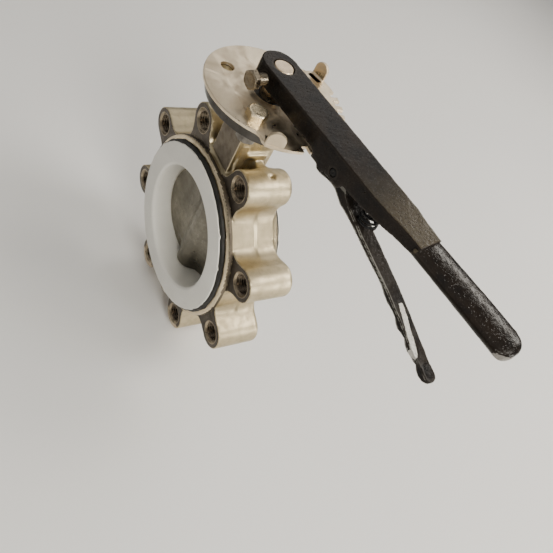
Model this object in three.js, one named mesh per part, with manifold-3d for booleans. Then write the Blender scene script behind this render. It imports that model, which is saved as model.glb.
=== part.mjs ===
// Lug-type butterfly valve, DN100 (4 in), soft seated, with a ten-position squeeze lever.
// Frame: origin at the bore centre on the stem axis. X is across the pipe, Y is the flow
// direction (front seat face at -Y), Z runs up the stem. Units are millimetres.
import * as THREE from "three";
import { mergeVertices } from "three/addons/utils/BufferGeometryUtils.js";
import Module from "manifold-3d";

const wasm = await Module();
wasm.setup();

// ---------- driving dimensions ----------
const REST_DEG = 10; // lever angle at rest: the first notch above shut
const BORE_R = 50, SEAT_FACE_Y = 27.1, SEAT_R = 69.1;
const LUG_PCD_R = 90, LUG_R = 13.8, LUG_Y = 18.3, LUG_REAR_Y = 20.3, LUG_HOLE_R = 7.3, LUG_COUNT = 8;
const RING_IN_R = 58, RING_FRONT_R = 73.8, RING_REAR_R = 76, FACE_R = 74.6, FACE_Y = 22.6;
const NECK_BORE_R = 10.3, BOTTOM_BORE_R = 12.3, NECK_X = 13.4, NECK_Y0 = -17, NECK_Y1 = 15.5;
const FLANGE_R = 44, FLANGE_Z0 = 129.7, FLANGE_Z1 = 138.2;
const TOP_HOLE_R = 35, TOP_HOLE_D = 9; // clamp bolts
const FREE_HOLE_R = 34, FREE_HOLE_D = 9.6;
const PLATE_Z0 = 138.5, PLATE_Z1 = 141, PLATE_R = 48, SECTOR_R = 56, NOTCH_ROOT_R = 50.8, NOTCH_W = 4.8;
const STEM_R = 8, STEM_TOP_R = 7.1, STEM_TOP_Z = 161.7;
const DISC_R = 49.6, DISC_HALF_RIM = 3.4, DISC_HALF_MID = 4.6, DISC_BOSS_R = 12;
const LEVER_TOP = 161.7, LEVER_BOTTOM = 148.2, LEVER_HALF_W = 13.2, LEVER_TIP_X = 227;
const PIVOT_X = 80, PIVOT_Z = 149, PIN_R = 2.8;
const SCREW_Z = 152.9;
const GAP = 0.3;
const BIG = 40, SMALL = 18; // facets round a large and a small circle

const rad = (d) => (d * Math.PI) / 180;
const V2 = (x, y) => new THREE.Vector2(x, y);

// ---------- solids ----------
// A closed mesh as a solid, faces turned outward.
function solid(geom, matrix) {
  const g = geom.index ? geom.toNonIndexed() : geom.clone();
  g.deleteAttribute("normal");
  g.deleteAttribute("uv");
  if (matrix) g.applyMatrix4(matrix);
  const m = mergeVertices(g, 1e-4);
  const p = m.attributes.position.array;
  const src = m.index.array;
  const tri = [];
  let vol = 0;
  for (let i = 0; i < src.length; i += 3) {
    const [a, b, c] = [src[i], src[i + 1], src[i + 2]];
    if (a === b || b === c || a === c) continue;
    tri.push(a, b, c);
    const A = [p[3 * a], p[3 * a + 1], p[3 * a + 2]];
    const B = [p[3 * b], p[3 * b + 1], p[3 * b + 2]];
    const C = [p[3 * c], p[3 * c + 1], p[3 * c + 2]];
    vol +=
      A[0] * (B[1] * C[2] - B[2] * C[1]) -
      A[1] * (B[0] * C[2] - B[2] * C[0]) +
      A[2] * (B[0] * C[1] - B[1] * C[0]);
  }
  if (vol < 0)
    for (let i = 0; i < tri.length; i += 3) [tri[i + 1], tri[i + 2]] = [tri[i + 2], tri[i + 1]];
  return new wasm.Manifold(
    new wasm.Mesh({ numProp: 3, vertProperties: new Float32Array(p), triVerts: new Uint32Array(tri) }),
  );
}
const move = (x, y, z) => new THREE.Matrix4().makeTranslation(x, y, z);
const turnX = (d) => new THREE.Matrix4().makeRotationX(rad(d));
const turnY = (d) => new THREE.Matrix4().makeRotationY(rad(d));
const turnZ = (d) => new THREE.Matrix4().makeRotationZ(rad(d));
const chain = (...m) => m.reduce((a, b) => a.multiply(b), new THREE.Matrix4());

// Cylinder along Z from z0 to z1, radius r0 at z0 and r1 at z1.
const cylZ = (r0, r1, z0, z1, seg = 20, x = 0, y = 0, turn = 0) =>
  solid(new THREE.CylinderGeometry(r1, r0, z1 - z0, seg), chain(move(x, y, (z0 + z1) / 2), turnZ(turn), turnX(90)));
// Cylinder along Y from y0 to y1.
const cylY = (r0, r1, y0, y1, seg = 32, x = 0, z = 0, turn = 0) =>
  solid(new THREE.CylinderGeometry(r1, r0, y1 - y0, seg), chain(move(x, (y0 + y1) / 2, z), turnY(turn)));
const box = (x0, x1, y0, y1, z0, z1, matrix) =>
  solid(
    new THREE.BoxGeometry(x1 - x0, y1 - y0, z1 - z0),
    chain(matrix || new THREE.Matrix4(), move((x0 + x1) / 2, (y0 + y1) / 2, (z0 + z1) / 2)),
  );
// Revolved closed profile [[r, h], ...] about Z, or about Y.
const latheZ = (pts, seg = 32) =>
  solid(new THREE.LatheGeometry([...pts, pts[0]].map((p) => V2(p[0], p[1])), seg), turnX(90));
const latheY = (pts, seg = 48) =>
  solid(new THREE.LatheGeometry([...pts, pts[0]].map((p) => V2(p[0], p[1])), seg));
// Outline [[x, z], ...] swept along Y from y0 to y1.
const slabY = (pts, y0, y1) =>
  solid(
    new THREE.ExtrudeGeometry(new THREE.Shape(pts.map((p) => V2(p[0], p[1]))), { depth: y1 - y0, bevelEnabled: false }),
    chain(move(0, y1, 0), turnX(90)),
  );
// Outline [[x, y], ...] swept along Z from z0 to z1.
const slabZ = (pts, z0, z1) =>
  solid(
    new THREE.ExtrudeGeometry(new THREE.Shape(pts.map((p) => V2(p[0], p[1]))), { depth: z1 - z0, bevelEnabled: false }),
    move(0, 0, z0),
  );
const join = (list) => list.reduce((a, b) => a.add(b));
const cut = (a, list) => list.reduce((s, b) => s.subtract(b), a);
const arc = (cx, cy, r, a0, a1, n) =>
  Array.from({ length: n + 1 }, (_, i) => {
    const a = rad(a0 + ((a1 - a0) * i) / n);
    return [cx + r * Math.cos(a), cy + r * Math.sin(a)];
  });

const root = new THREE.Group();
const leverGroup = new THREE.Group();
leverGroup.rotation.z = rad(REST_DEG);
root.add(leverGroup);

const MAT = {
  castSteel: [0xb9a98c, 0.42, 0.95],
  polishedSteel: [0xc9c4b8, 0.2, 1.0],
  turnedSteel: [0xc4bfb4, 0.28, 1.0],
  boltSteel: [0xcbb98f, 0.25, 1.0],
  ptfe: [0xe6e4de, 0.45, 0.0],
  rubber: [0x14130f, 0.7, 0.0],
  bushing: [0x8c7a55, 0.5, 0.3],
  blackPaint: [0x16151a, 0.25, 0.0],
  springSteel: [0x2a2a2c, 0.35, 0.9],
};
function add(group, name, s, mat) {
  const m = s.getMesh();
  const n = m.numProp;
  const v = new Float32Array(m.numVert * 3);
  for (let i = 0; i < m.numVert; i++) v.set(m.vertProperties.subarray(i * n, i * n + 3), i * 3);
  const g = new THREE.BufferGeometry()
    .setAttribute("position", new THREE.BufferAttribute(v, 3))
    .setIndex(new THREE.BufferAttribute(new Uint32Array(m.triVerts), 1));
  g.computeVertexNormals();
  const [color, roughness, metalness] = MAT[mat];
  const mesh = new THREE.Mesh(g, new THREE.MeshStandardMaterial({ color, roughness, metalness }));
  mesh.name = name;
  group.add(mesh);
}

// ---------- body ----------
{
  // Ring with a machined raised face on each side; the rear half is a little fatter than the front.
  const ring = latheY(
    [
      [RING_IN_R, -FACE_Y], [FACE_R - 1.8, -FACE_Y], [FACE_R, -FACE_Y + 1.4], [FACE_R, -LUG_Y], [RING_FRONT_R, -LUG_Y],
      [RING_FRONT_R, 0.8], [RING_REAR_R, 1.6], [RING_REAR_R, 17.5], [FACE_R, 18.4], [FACE_R, FACE_Y - 1.4],
      [FACE_R - 1.8, FACE_Y], [RING_IN_R, FACE_Y],
    ],
    BIG,
  );
  const parts = [ring];
  // Eight lugs, straddling the neck, each flaring into the ring.
  const outline = [
    [-23, 71], [-18, 75.2], [-15.2, 78], [-LUG_R, 82.5],
    ...arc(0, LUG_PCD_R, LUG_R, 180, 0, 8),
    [LUG_R, 82.5], [15.2, 78], [18, 75.2], [23, 71],
  ];
  for (let i = 0; i < LUG_COUNT; i++) {
    const phi = 22.5 + 45 * i;
    const c = Math.cos(rad(phi)), s = Math.sin(rad(phi));
    parts.push(slabY(outline.map(([x, z]) => [x * c + z * s, -x * s + z * c]), -LUG_Y, LUG_REAR_Y));
  }
  // Neck: a column with a raised front pad, a short bar on each side, gussets down to the two top lugs, and the top flange.
  parts.push(box(-NECK_X, NECK_X, -15.5, NECK_Y1, 62, 131));
  parts.push(box(-NECK_X, NECK_X, NECK_Y0, -14, 76.8, 131));
  for (const s of [-1, 1]) {
    parts.push(slabY([[s * 12, 100], [s * NECK_X, 100], [s * 16.2, 86], [s * 19, 78], [s * 12, 74]], -13.6, -6.6));
    parts.push(slabY([[s * 12, 93], [s * 15.6, 93], [s * 15.6, 97], [s * 12, 97]], -6.6, 11));
    parts.push(slabY([[s * 12, 96], [s * 15, 95], [s * 22, 92], [s * 33, 90], [s * 33, 84], [s * 12, 74]], 1, 10));
  }
  parts.push(
    latheZ([[0, FLANGE_Z0 - 3], [19, FLANGE_Z0 - 3], [22, FLANGE_Z0], [FLANGE_R - 1, FLANGE_Z0], [FLANGE_R, FLANGE_Z0 + 1], [FLANGE_R, FLANGE_Z1 - 0.6], [FLANGE_R - 0.6, FLANGE_Z1], [0, FLANGE_Z1]], 40),
  );
  // Bottom boss for the lower stem.
  parts.push(latheZ([[0, -88], [16.5, -88], [17.5, -87], [17.5, -62], [0, -62]], 20));
  let body = join(parts);
  const cuts = [
    // bore for the liner and its back-up ring
    cylY(RING_IN_R, RING_IN_R, -30, 30, BIG),
    // neck and bottom bores
    cylZ(NECK_BORE_R, NECK_BORE_R, 50, 140, SMALL),
    cylZ(14, 14, 128.2, 140, SMALL),
    cylZ(BOTTOM_BORE_R, BOTTOM_BORE_R, -95, -50, SMALL),
  ];
  for (let i = 0; i < LUG_COUNT; i++) {
    const phi = 22.5 + 45 * i;
    const x = LUG_PCD_R * Math.sin(rad(phi)), z = LUG_PCD_R * Math.cos(rad(phi));
    cuts.push(latheYat([[0, -LUG_Y - 1], [LUG_HOLE_R + 2.4, -LUG_Y - 1], [LUG_HOLE_R, -LUG_Y + 1.4], [LUG_HOLE_R, LUG_REAR_Y - 1.4], [LUG_HOLE_R + 2.4, LUG_REAR_Y + 1], [0, LUG_REAR_Y + 1]], 12, x, z));
  }
  cuts.push(...topHoles(120, 140));
  body = cut(body, cuts);
  add(root, "body", body, "castSteel");
}
// The four holes shared by the flange and the plate: two for the clamp bolts, two left free.
function topHoles(z0, z1) {
  return [45, 135, 225, 315].map((a) => {
    const free = a === 45 || a === 225;
    const [R, d] = free ? [FREE_HOLE_R, FREE_HOLE_D] : [TOP_HOLE_R, TOP_HOLE_D];
    return cylZ(d / 2, d / 2, z0, z1, 12, R * Math.cos(rad(a)), R * Math.sin(rad(a)));
  });
}
function latheYat(pts, seg, x, z) {
  return solid(new THREE.LatheGeometry([...pts, pts[0]].map((p) => V2(p[0], p[1])), seg), move(x, 0, z));
}

// ---------- seat liner and its rubber back-up ring ----------
{
  // The skin is thin where it lies over the faces; the rubber shows as a dark line under its edge.
  const Y = SEAT_FACE_Y, F = Y - 1.1;
  let liner = latheY(
    [
      [BORE_R, -Y + 3.4], [BORE_R + 0.8, -Y + 1.2], [BORE_R + 2.6, -Y], [SEAT_R - 0.5, -Y], [SEAT_R, -Y + 0.4], [SEAT_R, -F],
      [54, -F], [54, F], [SEAT_R, F], [SEAT_R, Y - 0.4], [SEAT_R - 0.5, Y], [BORE_R + 2.6, Y], [BORE_R + 0.8, Y - 1.2], [BORE_R, Y - 3.4],
    ],
    BIG,
  );
  liner = cut(liner, [cylZ(STEM_R + GAP, STEM_R + GAP, 40, 60, SMALL), cylZ(STEM_R + GAP, STEM_R + GAP, -60, -40, SMALL)]);
  add(root, "seat_liner", liner, "ptfe");
  let back = latheY(
    [
      [54.3, -F + GAP], [69.6, -F + GAP], [70.8, -F + 1], [70.8, -FACE_Y - GAP], [RING_IN_R - GAP, -FACE_Y - GAP],
      [RING_IN_R - GAP, FACE_Y + GAP], [70.8, FACE_Y + GAP], [70.8, F - 1], [69.6, F - GAP], [54.3, F - GAP],
    ],
    BIG,
  );
  back = cut(back, [cylZ(STEM_R + 1, STEM_R + 1, 40, 65, SMALL), cylZ(STEM_R + 1, STEM_R + 1, -65, -40, SMALL)]);
  add(root, "seat_backup_ring", back, "rubber");
}

// ---------- stem bushes and seals, packed in the neck ----------
const sleeve = (r0, r1, z0, z1, seg = SMALL) => latheZ([[r0, z0], [r1, z0], [r1, z1], [r0, z1]], seg);
const oRing = (r, w, z, seg = SMALL) => latheZ(arc(r, z, w, 0, 360, 8).slice(0, 8), seg);
add(root, "neck_bush_lower", sleeve(STEM_R + GAP, 10, 59.5, 80), "bushing");
add(root, "stem_seal_lower", oRing(9.15, 0.72, 81.6), "rubber");
add(root, "stem_seal_upper", oRing(9.15, 0.72, 84.2), "rubber");
add(root, "neck_bush_upper", sleeve(STEM_R + GAP, 10, 104, 128), "bushing");
add(root, "thrust_washer", sleeve(STEM_R + GAP, 13.6, 128.5, 130), "turnedSteel");
{
  let clip = sleeve(9.6, 13.6, 130.4, 131.9);
  clip = clip.subtract(box(0, 20, -3, 3, 129, 133));
  add(root, "stem_retaining_ring", clip, "springSteel");
}
add(root, "dust_seal", sleeve(STEM_R + GAP, 13.7, 133.4, 138.1), "rubber");
add(root, "bottom_bush", sleeve(STEM_R + GAP, 12, -79, -59.5), "bushing");
{
  let plug = latheZ([[0, -82], [11.4, -82], [12, -82.8], [12, -89.9], [15.6, -89.9], [15.6, -92.4], [15, -93], [0, -93]], SMALL);
  plug = plug.subtract(cylZ(5.6, 5.6, -94, -86, 6));
  add(root, "bottom_plug", plug, "turnedSteel");
  add(root, "plug_gasket", sleeve(12.4, 15.8, -89.6, -88.3), "ptfe");
}

// ---------- notch plate: disc with a toothed sector and two bent-up stops ----------
{
  const a0 = -31.5, a1 = 117.5;
  const pts = [];
  for (const [x, y] of arc(0, 0, SECTOR_R, a0 + 1, a1 - 1, 30)) pts.push([x, y]);
  pts.push([(SECTOR_R - 2.4) * Math.cos(rad(a1 + 1.4)), (SECTOR_R - 2.4) * Math.sin(rad(a1 + 1.4))]);
  pts.push([(PLATE_R + 1.6) * Math.cos(rad(a1 + 3.4)), (PLATE_R + 1.6) * Math.sin(rad(a1 + 3.4))]);
  for (const [x, y] of arc(0, 0, PLATE_R, a1 + 7, 360 + a0 - 7, 30)) pts.push([x, y]);
  pts.push([(PLATE_R + 1.6) * Math.cos(rad(a0 - 3.4)), (PLATE_R + 1.6) * Math.sin(rad(a0 - 3.4))]);
  pts.push([(SECTOR_R - 2.4) * Math.cos(rad(a0 - 1.4)), (SECTOR_R - 2.4) * Math.sin(rad(a0 - 1.4))]);
  let plate = slabZ(pts, PLATE_Z0, PLATE_Z1);
  // The stops: one beyond shut, one beyond open.
  for (const [a, w, top] of [[-24.6, 6.4, 150.8], [111.2, 5.6, 152.4]]) {
    const lobe = [[-w, PLATE_Z0], [w, PLATE_Z0], [w, PLATE_Z1 + 1.5], ...arc(0, top - 5, 5, 10, 170, 6), [-w, PLATE_Z1 + 1.5]];
    // outline in the tangent plane, thickness radial
    const g = new THREE.ExtrudeGeometry(new THREE.Shape(lobe.map((p) => V2(p[0], p[1]))), { depth: 2.5, bevelEnabled: false });
    plate = plate.add(solid(g, chain(turnZ(a), move(SECTOR_R - 2.6, 0, 0), turnZ(90), turnX(90))));
  }
  const cuts = [cylZ(14, 14, 130, 145, SMALL)];
  for (let k = 0; k < 10; k++)
    cuts.push(box(NOTCH_ROOT_R, 60, -NOTCH_W / 2, NOTCH_W / 2, 130, 145, turnZ(10 * k)));
  cuts.push(...topHoles(130, 145));
  add(root, "notch_plate", cut(plate, cuts), "polishedSteel");
}
// Two M8 bolts on one diagonal clamp the plate to the flange.
for (const [tag, a] of [["front", 315], ["rear", 135]]) {
  const x = TOP_HOLE_R * Math.cos(rad(a)), y = TOP_HOLE_R * Math.sin(rad(a));
  const head = cylZ(7.5, 7.5, PLATE_Z1 + GAP, 146.7, 6, x, y, a).intersect(
    latheZat([[0, 141], [7.5, 141], [7.5, 145.9], [6.6, 146.7], [0, 146.7]], 12, x, y),
  );
  const bolt = head.add(cylZ(3.9, 3.9, 122, 142, 12, x, y));
  add(root, "plate_bolt_" + tag, bolt, "boltSteel");
  add(root, "plate_washer_" + tag, ringAt(4.3, 8, 128, FLANGE_Z0 - GAP, x, y, 16), "turnedSteel");
  add(root, "plate_nut_" + tag, cut(cylZ(7.5, 7.5, 123.3, 127.7, 6, x, y, a), [cylZ(4.2, 4.2, 118, 130, 12, x, y)]), "turnedSteel");
}
function latheZat(pts, seg, x, y) {
  return solid(new THREE.LatheGeometry([...pts, pts[0]].map((p) => V2(p[0], p[1])), seg), chain(move(x, y, 0), turnX(90)));
}
function ringAt(r0, r1, z0, z1, x, y, seg) {
  return latheZat([[r0, z0], [r1, z0], [r1, z1], [r0, z1]], seg, x, y);
}

// ---------- disc and stems (built with the lever along +X, turned to the rest angle) ----------
{
  // Lens section with a spherical rim, so it clears the liner at every angle.
  const rim = [];
  for (let i = 0; i <= 2; i++) {
    const h = -DISC_HALF_RIM + (2 * DISC_HALF_RIM * i) / 2;
    rim.push([Math.sqrt(DISC_R * DISC_R - h * h), h]);
  }
  let disc = latheY([[0, -DISC_HALF_MID], [20, -DISC_HALF_MID], [44, -DISC_HALF_RIM], ...rim, [44, DISC_HALF_RIM], [20, DISC_HALF_MID], [0, DISC_HALF_MID]], BIG);
  const hub = cylZ(DISC_BOSS_R, DISC_BOSS_R, -48.4, 48.4, 24);
  const ball = solid(new THREE.SphereGeometry(DISC_R, BIG, 24));
  disc = disc.add(hub).intersect(ball);
  // A broad fairing each side of the boss.
  disc = disc.add(
    slabZ([[-19, -DISC_HALF_MID + 0.4], [-10, -9.6], [0, -12], [10, -9.6], [19, -DISC_HALF_MID + 0.4], [19, DISC_HALF_MID - 0.4], [10, 9.6], [0, 12], [-10, 9.6], [-19, DISC_HALF_MID - 0.4]], -36, 36).intersect(ball),
  );
  disc = cut(disc, [
    cylZ(7.9, 7.9, 9.5, 55).subtract(box(-20, 20, 6.3, 20, 0, 60)).subtract(box(-20, 20, -20, -6.3, 0, 60)),
    cylZ(8.3, 8.3, 43.6, 55), // round mouth above the drive flats
    cylZ(7.9, 7.9, -55, -17.5), cylZ(8.3, 8.3, -55, -45.6),
    // flats that face the liner at the poles
    box(-30, 30, -30, 30, 48.4, 60), box(-30, 30, -30, 30, -60, -48.4),
  ]);
  add(leverGroup, "disc", disc, "turnedSteel");

  let stem = latheZ(
    [[0, 10], [6.8, 10], [7.6, 10.8], [7.6, 46], [STEM_R, 46.6], [STEM_R, 146.9], [STEM_TOP_R, 147.5], [STEM_TOP_R, STEM_TOP_Z - 0.8], [STEM_TOP_R - 0.8, STEM_TOP_Z], [0, STEM_TOP_Z]],
    SMALL,
  );
  stem = cut(stem, [
    box(-20, 20, 6, 20, 5, 44), box(-20, 20, -20, -6, 5, 44), // drive flats in the disc
    box(-20, 20, -20, -6.2, 148.6, 157.2), // flat for the clamp screw
    latheZ([[9.5, 130.2], [STEM_R - 0.6, 130.2], [STEM_R - 0.6, 132.1], [9.5, 132.1]], SMALL), // groove for the retaining ring
  ]);
  add(leverGroup, "upper_stem", stem, "turnedSteel");
  add(
    leverGroup,
    "lower_stem",
    latheZ([[0, -81.5], [7.2, -81.5], [STEM_R, -80.7], [STEM_R, -46.6], [7.6, -46], [7.6, -18.8], [6.8, -18], [0, -18]], SMALL),
    "turnedSteel",
  );
}

// ---------- lever ----------
{
  const side = [
    [-18, LEVER_BOTTOM], [-18, LEVER_TOP], [152, LEVER_TOP], [152, 154], [120, 150.2], [96, LEVER_BOTTOM], [90.5, LEVER_BOTTOM],
    [88, 143.5], [62, 143.5], [57.5, LEVER_BOTTOM],
  ];
  const W = LEVER_HALF_W;
  const plan = [
    ...arc(-3.4, 0, W, 90, 270, 12),
    [112, -W + 0.1], [122, -12.4], [134, -10.6], [152, -9.8],
    [152, 10.2], [136, 11.6], [128, W - 0.1],
  ];
  let lever = slabY(side, -W - 1, W + 1).intersect(slabZ(plan, 130, 170));
  // Grip: a bar with a crowned top, short sides and a belly that tapers in.
  const x0 = 149, x1 = LEVER_TIP_X;
  const section = (x) => {
    const round = Math.sqrt(Math.max(0.02, 1 - Math.max(0, (x - x1 + 11) / 11) ** 2.6));
    const a = 13.5 * round, end = Math.max(0, (x - x1 + 5) / 5) ** 2;
    const top = 161.4 - 1.5 * end, low = 153 + 1.5 * end, c = 7.4 * round;
    return [
      [-a, 158 + 0.2 * end], [-a, 159.2 - 0.2 * end], [-a * 0.93, 160.1 - end * 0.8], [-a * 0.55, top - 0.4], [0, top], [a * 0.55, top - 0.4], [a * 0.93, 160.1 - end * 0.8],
      [a, 159.2 - 0.2 * end], [a, 158 + 0.2 * end], [c, low], [-c, low],
    ];
  };
  const xs = [x0, 156, 166, 178, 190, 202, 212, 217, 220, 222.6, 224.6, 226, x1];
  const rings = xs.map(section);
  const V = [], F = [];
  rings.forEach((r, i) => r.forEach(([y, z]) => V.push(xs[i], y, z)));
  const k = rings[0].length;
  for (let i = 0; i + 1 < xs.length; i++)
    for (let j = 0; j < k; j++) {
      const p = i * k + j, q = i * k + ((j + 1) % k);
      F.push(p, q, p + k, q, q + k, p + k);
    }
  for (const [i, flip] of [[0, 1], [xs.length - 1, 0]])
    for (let j = 1; j + 1 < k; j++) F.push(i * k, i * k + (flip ? j + 1 : j), i * k + (flip ? j : j + 1));
  const grip = new THREE.BufferGeometry();
  grip.setAttribute("position", new THREE.BufferAttribute(new Float32Array(V), 3));
  grip.setIndex(F);
  lever = lever.add(solid(grip));
  lever = cut(lever, [
    // channel under the shank, open below
    slabZ([[17.5, -9.3], [104, -9.3], [113, -8.7], [118.5, -6.6], [121.6, -3], [121.6, 3], [118.5, 6.6], [113, 8.7], [104, 9.3], [17.5, 9.3]], 130, 157.4),
    cylZ(STEM_TOP_R + GAP, STEM_TOP_R + GAP, 140, 170),
    cylY(4.2, 4.2, -20, -3, 20, 0, SCREW_Z),
    cylY(PIN_R + GAP, PIN_R + GAP, -20, 20, 20, PIVOT_X, PIVOT_Z),
  ]);
  add(leverGroup, "lever_handle", lever, "blackPaint");

  const head = cylY(6.93, 6.93, -25.3, -21.5, 6, 0, SCREW_Z, 0).intersect(
    latheYat([[0, -25.3], [6.1, -25.3], [6.93, -24.5], [6.93, -21.5], [0, -21.5]], 24, 0, SCREW_Z),
  );
  add(leverGroup, "clamp_screw", head.add(cylY(3.9, 3.9, -22, -6.6, 20, 0, SCREW_Z)), "boltSteel");
  add(leverGroup, "pivot_pin", cylY(PIN_R, PIN_R, -13, 13, 20, PIVOT_X, PIVOT_Z), "turnedSteel");
}

// ---------- trigger and its spring ----------
{
  const sideT = [
    [56.8, 139.2], [62.4, 139.0], [67, 137.6], [68.4, 136.2], [72.8, 137.2], [79.3, 138.4], [84, 138.2],
    [93.3, 133.7], [109.8, 129.1], [128.4, 123.7], [138, 121.2], [148, 118.6], [153, 115.6], [157.5, 113.9], [163, 112.8], [168.1, 111.1], [171.5, 108.4],
    [174.6, 106.8], [178, 106.9], [181.5, 106.4], [185, 103.4], [188.7, 101.6], [193.4, 101.2], [197.9, 100.2], [200.8, 97.4], [204, 95.8], [208, 96],
    [211.4, 97.2], [212.6, 99], [211.4, 99.9], [208, 100.6],
    [200, 102.8], [190, 106.4], [183.2, 108.9], [177.4, 111.1], [171.8, 113.4], [163.3, 116.3], [153.4, 119.9], [142.2, 123.3], [134.1, 125.5], [125.5, 128.2],
    [118.3, 130.1], [110.1, 133.2], [100.6, 136.8], [94.4, 141.2],
    [90, 147], [88.6, 151], [85, 154.2], [80, 155.2], [74, 154.4], [68, 150.4], [62, 147.6], [56.8, 146.8],
  ];
  const planT = [
    [56, -8], [94, -7.8], [102, -6.9], [114, -6.4], [150, -6.3], [200, -5.9], [207, -5.4], [211.5, -3.6],
    [211.5, 2.4], [207, 4.3], [200, 4.7], [150, 5.2], [120, 6.2], [102, 6.9], [94, 7.8], [56, 8],
  ];
  let trigger = slabY(sideT, -9, 9).intersect(slabZ(planT, 80, 170));
  // the head is open in the middle, two cheeks on the pin
  trigger = cut(trigger, [
    cylY(PIN_R + GAP, PIN_R + GAP, -20, 20, 20, PIVOT_X, PIVOT_Z),
    slabY([[69, 143], [97, 143], [97, 160], [69, 160]], -4.6, 4.6),
  ]);
  add(leverGroup, "trigger", trigger, "blackPaint");

  // Compression spring between the trigger and the roof of the channel.
  class Helix extends THREE.Curve {
    getPoint(t) {
      const turns = 5, a = turns * 2 * Math.PI * t;
      const p0 = new THREE.Vector3(112.6, 0, 135.2), p1 = new THREE.Vector3(111.4, 0, 156);
      const ax = p1.clone().sub(p0), u = new THREE.Vector3(ax.z, 0, -ax.x).normalize(), v = new THREE.Vector3(0, 1, 0);
      return p0.add(ax.multiplyScalar(t)).add(u.multiplyScalar(6.2 * Math.cos(a))).add(v.multiplyScalar(6.2 * Math.sin(a)));
    }
  }
  const wire = new THREE.Shape(arc(0, 0, 0.8, 0, 360, 6).slice(0, 6).map((p) => V2(p[0], p[1])));
  const spring = new THREE.ExtrudeGeometry(wire, { steps: 50, extrudePath: new Helix(), bevelEnabled: false });
  add(leverGroup, "trigger_spring", solid(spring), "springSteel");
}

export default root;
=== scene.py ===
import math

import bmesh
import bpy
import numpy as np
from mathutils import Matrix, Vector


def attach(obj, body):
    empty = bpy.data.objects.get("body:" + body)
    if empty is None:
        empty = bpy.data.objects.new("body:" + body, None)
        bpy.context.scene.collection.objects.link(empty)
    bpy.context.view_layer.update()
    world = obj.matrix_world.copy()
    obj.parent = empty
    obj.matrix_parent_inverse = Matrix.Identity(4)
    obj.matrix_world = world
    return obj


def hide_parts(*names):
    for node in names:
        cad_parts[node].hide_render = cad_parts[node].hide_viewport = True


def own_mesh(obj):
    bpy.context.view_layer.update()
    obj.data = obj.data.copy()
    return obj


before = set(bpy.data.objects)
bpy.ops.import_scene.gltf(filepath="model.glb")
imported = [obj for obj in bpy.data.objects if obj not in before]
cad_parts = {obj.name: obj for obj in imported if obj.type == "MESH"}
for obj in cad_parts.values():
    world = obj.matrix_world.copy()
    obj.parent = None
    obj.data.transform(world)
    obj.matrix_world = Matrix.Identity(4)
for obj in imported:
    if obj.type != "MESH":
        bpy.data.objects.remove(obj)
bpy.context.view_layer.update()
COLL = bpy.context.scene.collection
REST = math.radians(10.0)  # the lever and disc stand at the first notch
MM = 0.001


# ------------------------------------------------------------------ mesh tools
def finish_mesh(name, mesh, body, mat, replaces=(), sharp=32, turn=0.0):
    """Links a mesh given in millimetres as a piece that rides on a body."""
    m = Matrix.Rotation(turn, 4, "Z") @ Matrix.Scale(MM, 4)
    mesh.transform(m)
    mesh.update()
    mesh.validate()
    for p in mesh.polygons:
        p.use_smooth = True
    mesh.set_sharp_from_angle(angle=math.radians(sharp))
    o = bpy.data.objects.new(name, mesh)
    COLL.objects.link(o)
    if mat is not None:
        for k in mat if isinstance(mat, (list, tuple)) else [mat]:
            o.data.materials.append(k)
    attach(o, body)
    if replaces:
        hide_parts(*replaces)
    return o


def new_mesh(name, verts, faces):
    me = bpy.data.meshes.new(name)
    me.from_pydata([tuple(map(float, v)) for v in verts], [], [tuple(map(int, f)) for f in faces])
    bm = bmesh.new()
    bm.from_mesh(me)
    bmesh.ops.remove_doubles(bm, verts=bm.verts, dist=1e-4)
    bmesh.ops.dissolve_degenerate(bm, edges=bm.edges, dist=1e-5)
    bmesh.ops.recalc_face_normals(bm, faces=bm.faces)
    bm.to_mesh(me)
    bm.free()
    return me


def fillet(pts, r, n=4, closed=True):
    """Rounds the corners of a polyline; r is one radius or one per point."""
    out = []
    m = len(pts)
    for i in range(m):
        p = np.array(pts[i], float)
        rr = r[i] if isinstance(r, (list, tuple)) else r
        if rr <= 0 or (not closed and i in (0, m - 1)):
            out.append(tuple(p))
            continue
        a, b = np.array(pts[i - 1], float), np.array(pts[(i + 1) % m], float)
        la, lb = np.linalg.norm(a - p), np.linalg.norm(b - p)
        u, v = (a - p) / la, (b - p) / lb
        ang = math.acos(max(-1, min(1, float(u @ v))))
        if ang > math.pi - 0.02:
            out.append(tuple(p))
            continue
        t = min(rr / math.tan(ang / 2), 0.48 * la, 0.48 * lb)
        rr = t * math.tan(ang / 2)
        c = p + (u + v) / np.linalg.norm(u + v) * rr / math.sin(ang / 2)
        s, e = p + u * t - c, p + v * t - c
        a0 = math.atan2(s[1], s[0])
        d = math.atan2(e[1], e[0]) - a0
        d = (d + math.pi) % (2 * math.pi) - math.pi
        for k in range(n + 1):
            out.append((c[0] + rr * math.cos(a0 + d * k / n), c[1] + rr * math.sin(a0 + d * k / n)))
    return out


def lathe(name, prof, seg=96, axis="Z", at=(0, 0, 0), wobble=None):
    """Closed profile [(r, h)] turned about an axis through at. Points with r 0 close on the axis."""
    v, f = [], []
    n = len(prof)
    for i in range(seg):
        a = 2 * math.pi * i / seg
        for j, (r, h) in enumerate(prof):
            if wobble:
                r, h = wobble(a, r, h)
            u, w = r * math.cos(a), r * math.sin(a)
            v.append((at[0] + u, at[1] + w, at[2] + h) if axis == "Z" else (at[0] + u, at[1] + h, at[2] + w))
    for i in range(seg):
        k = (i + 1) % seg
        for j in range(n):
            l = (j + 1) % n
            f.append((i * n + j, k * n + j, k * n + l, i * n + l))
    return new_mesh(name, v, f)


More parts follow.
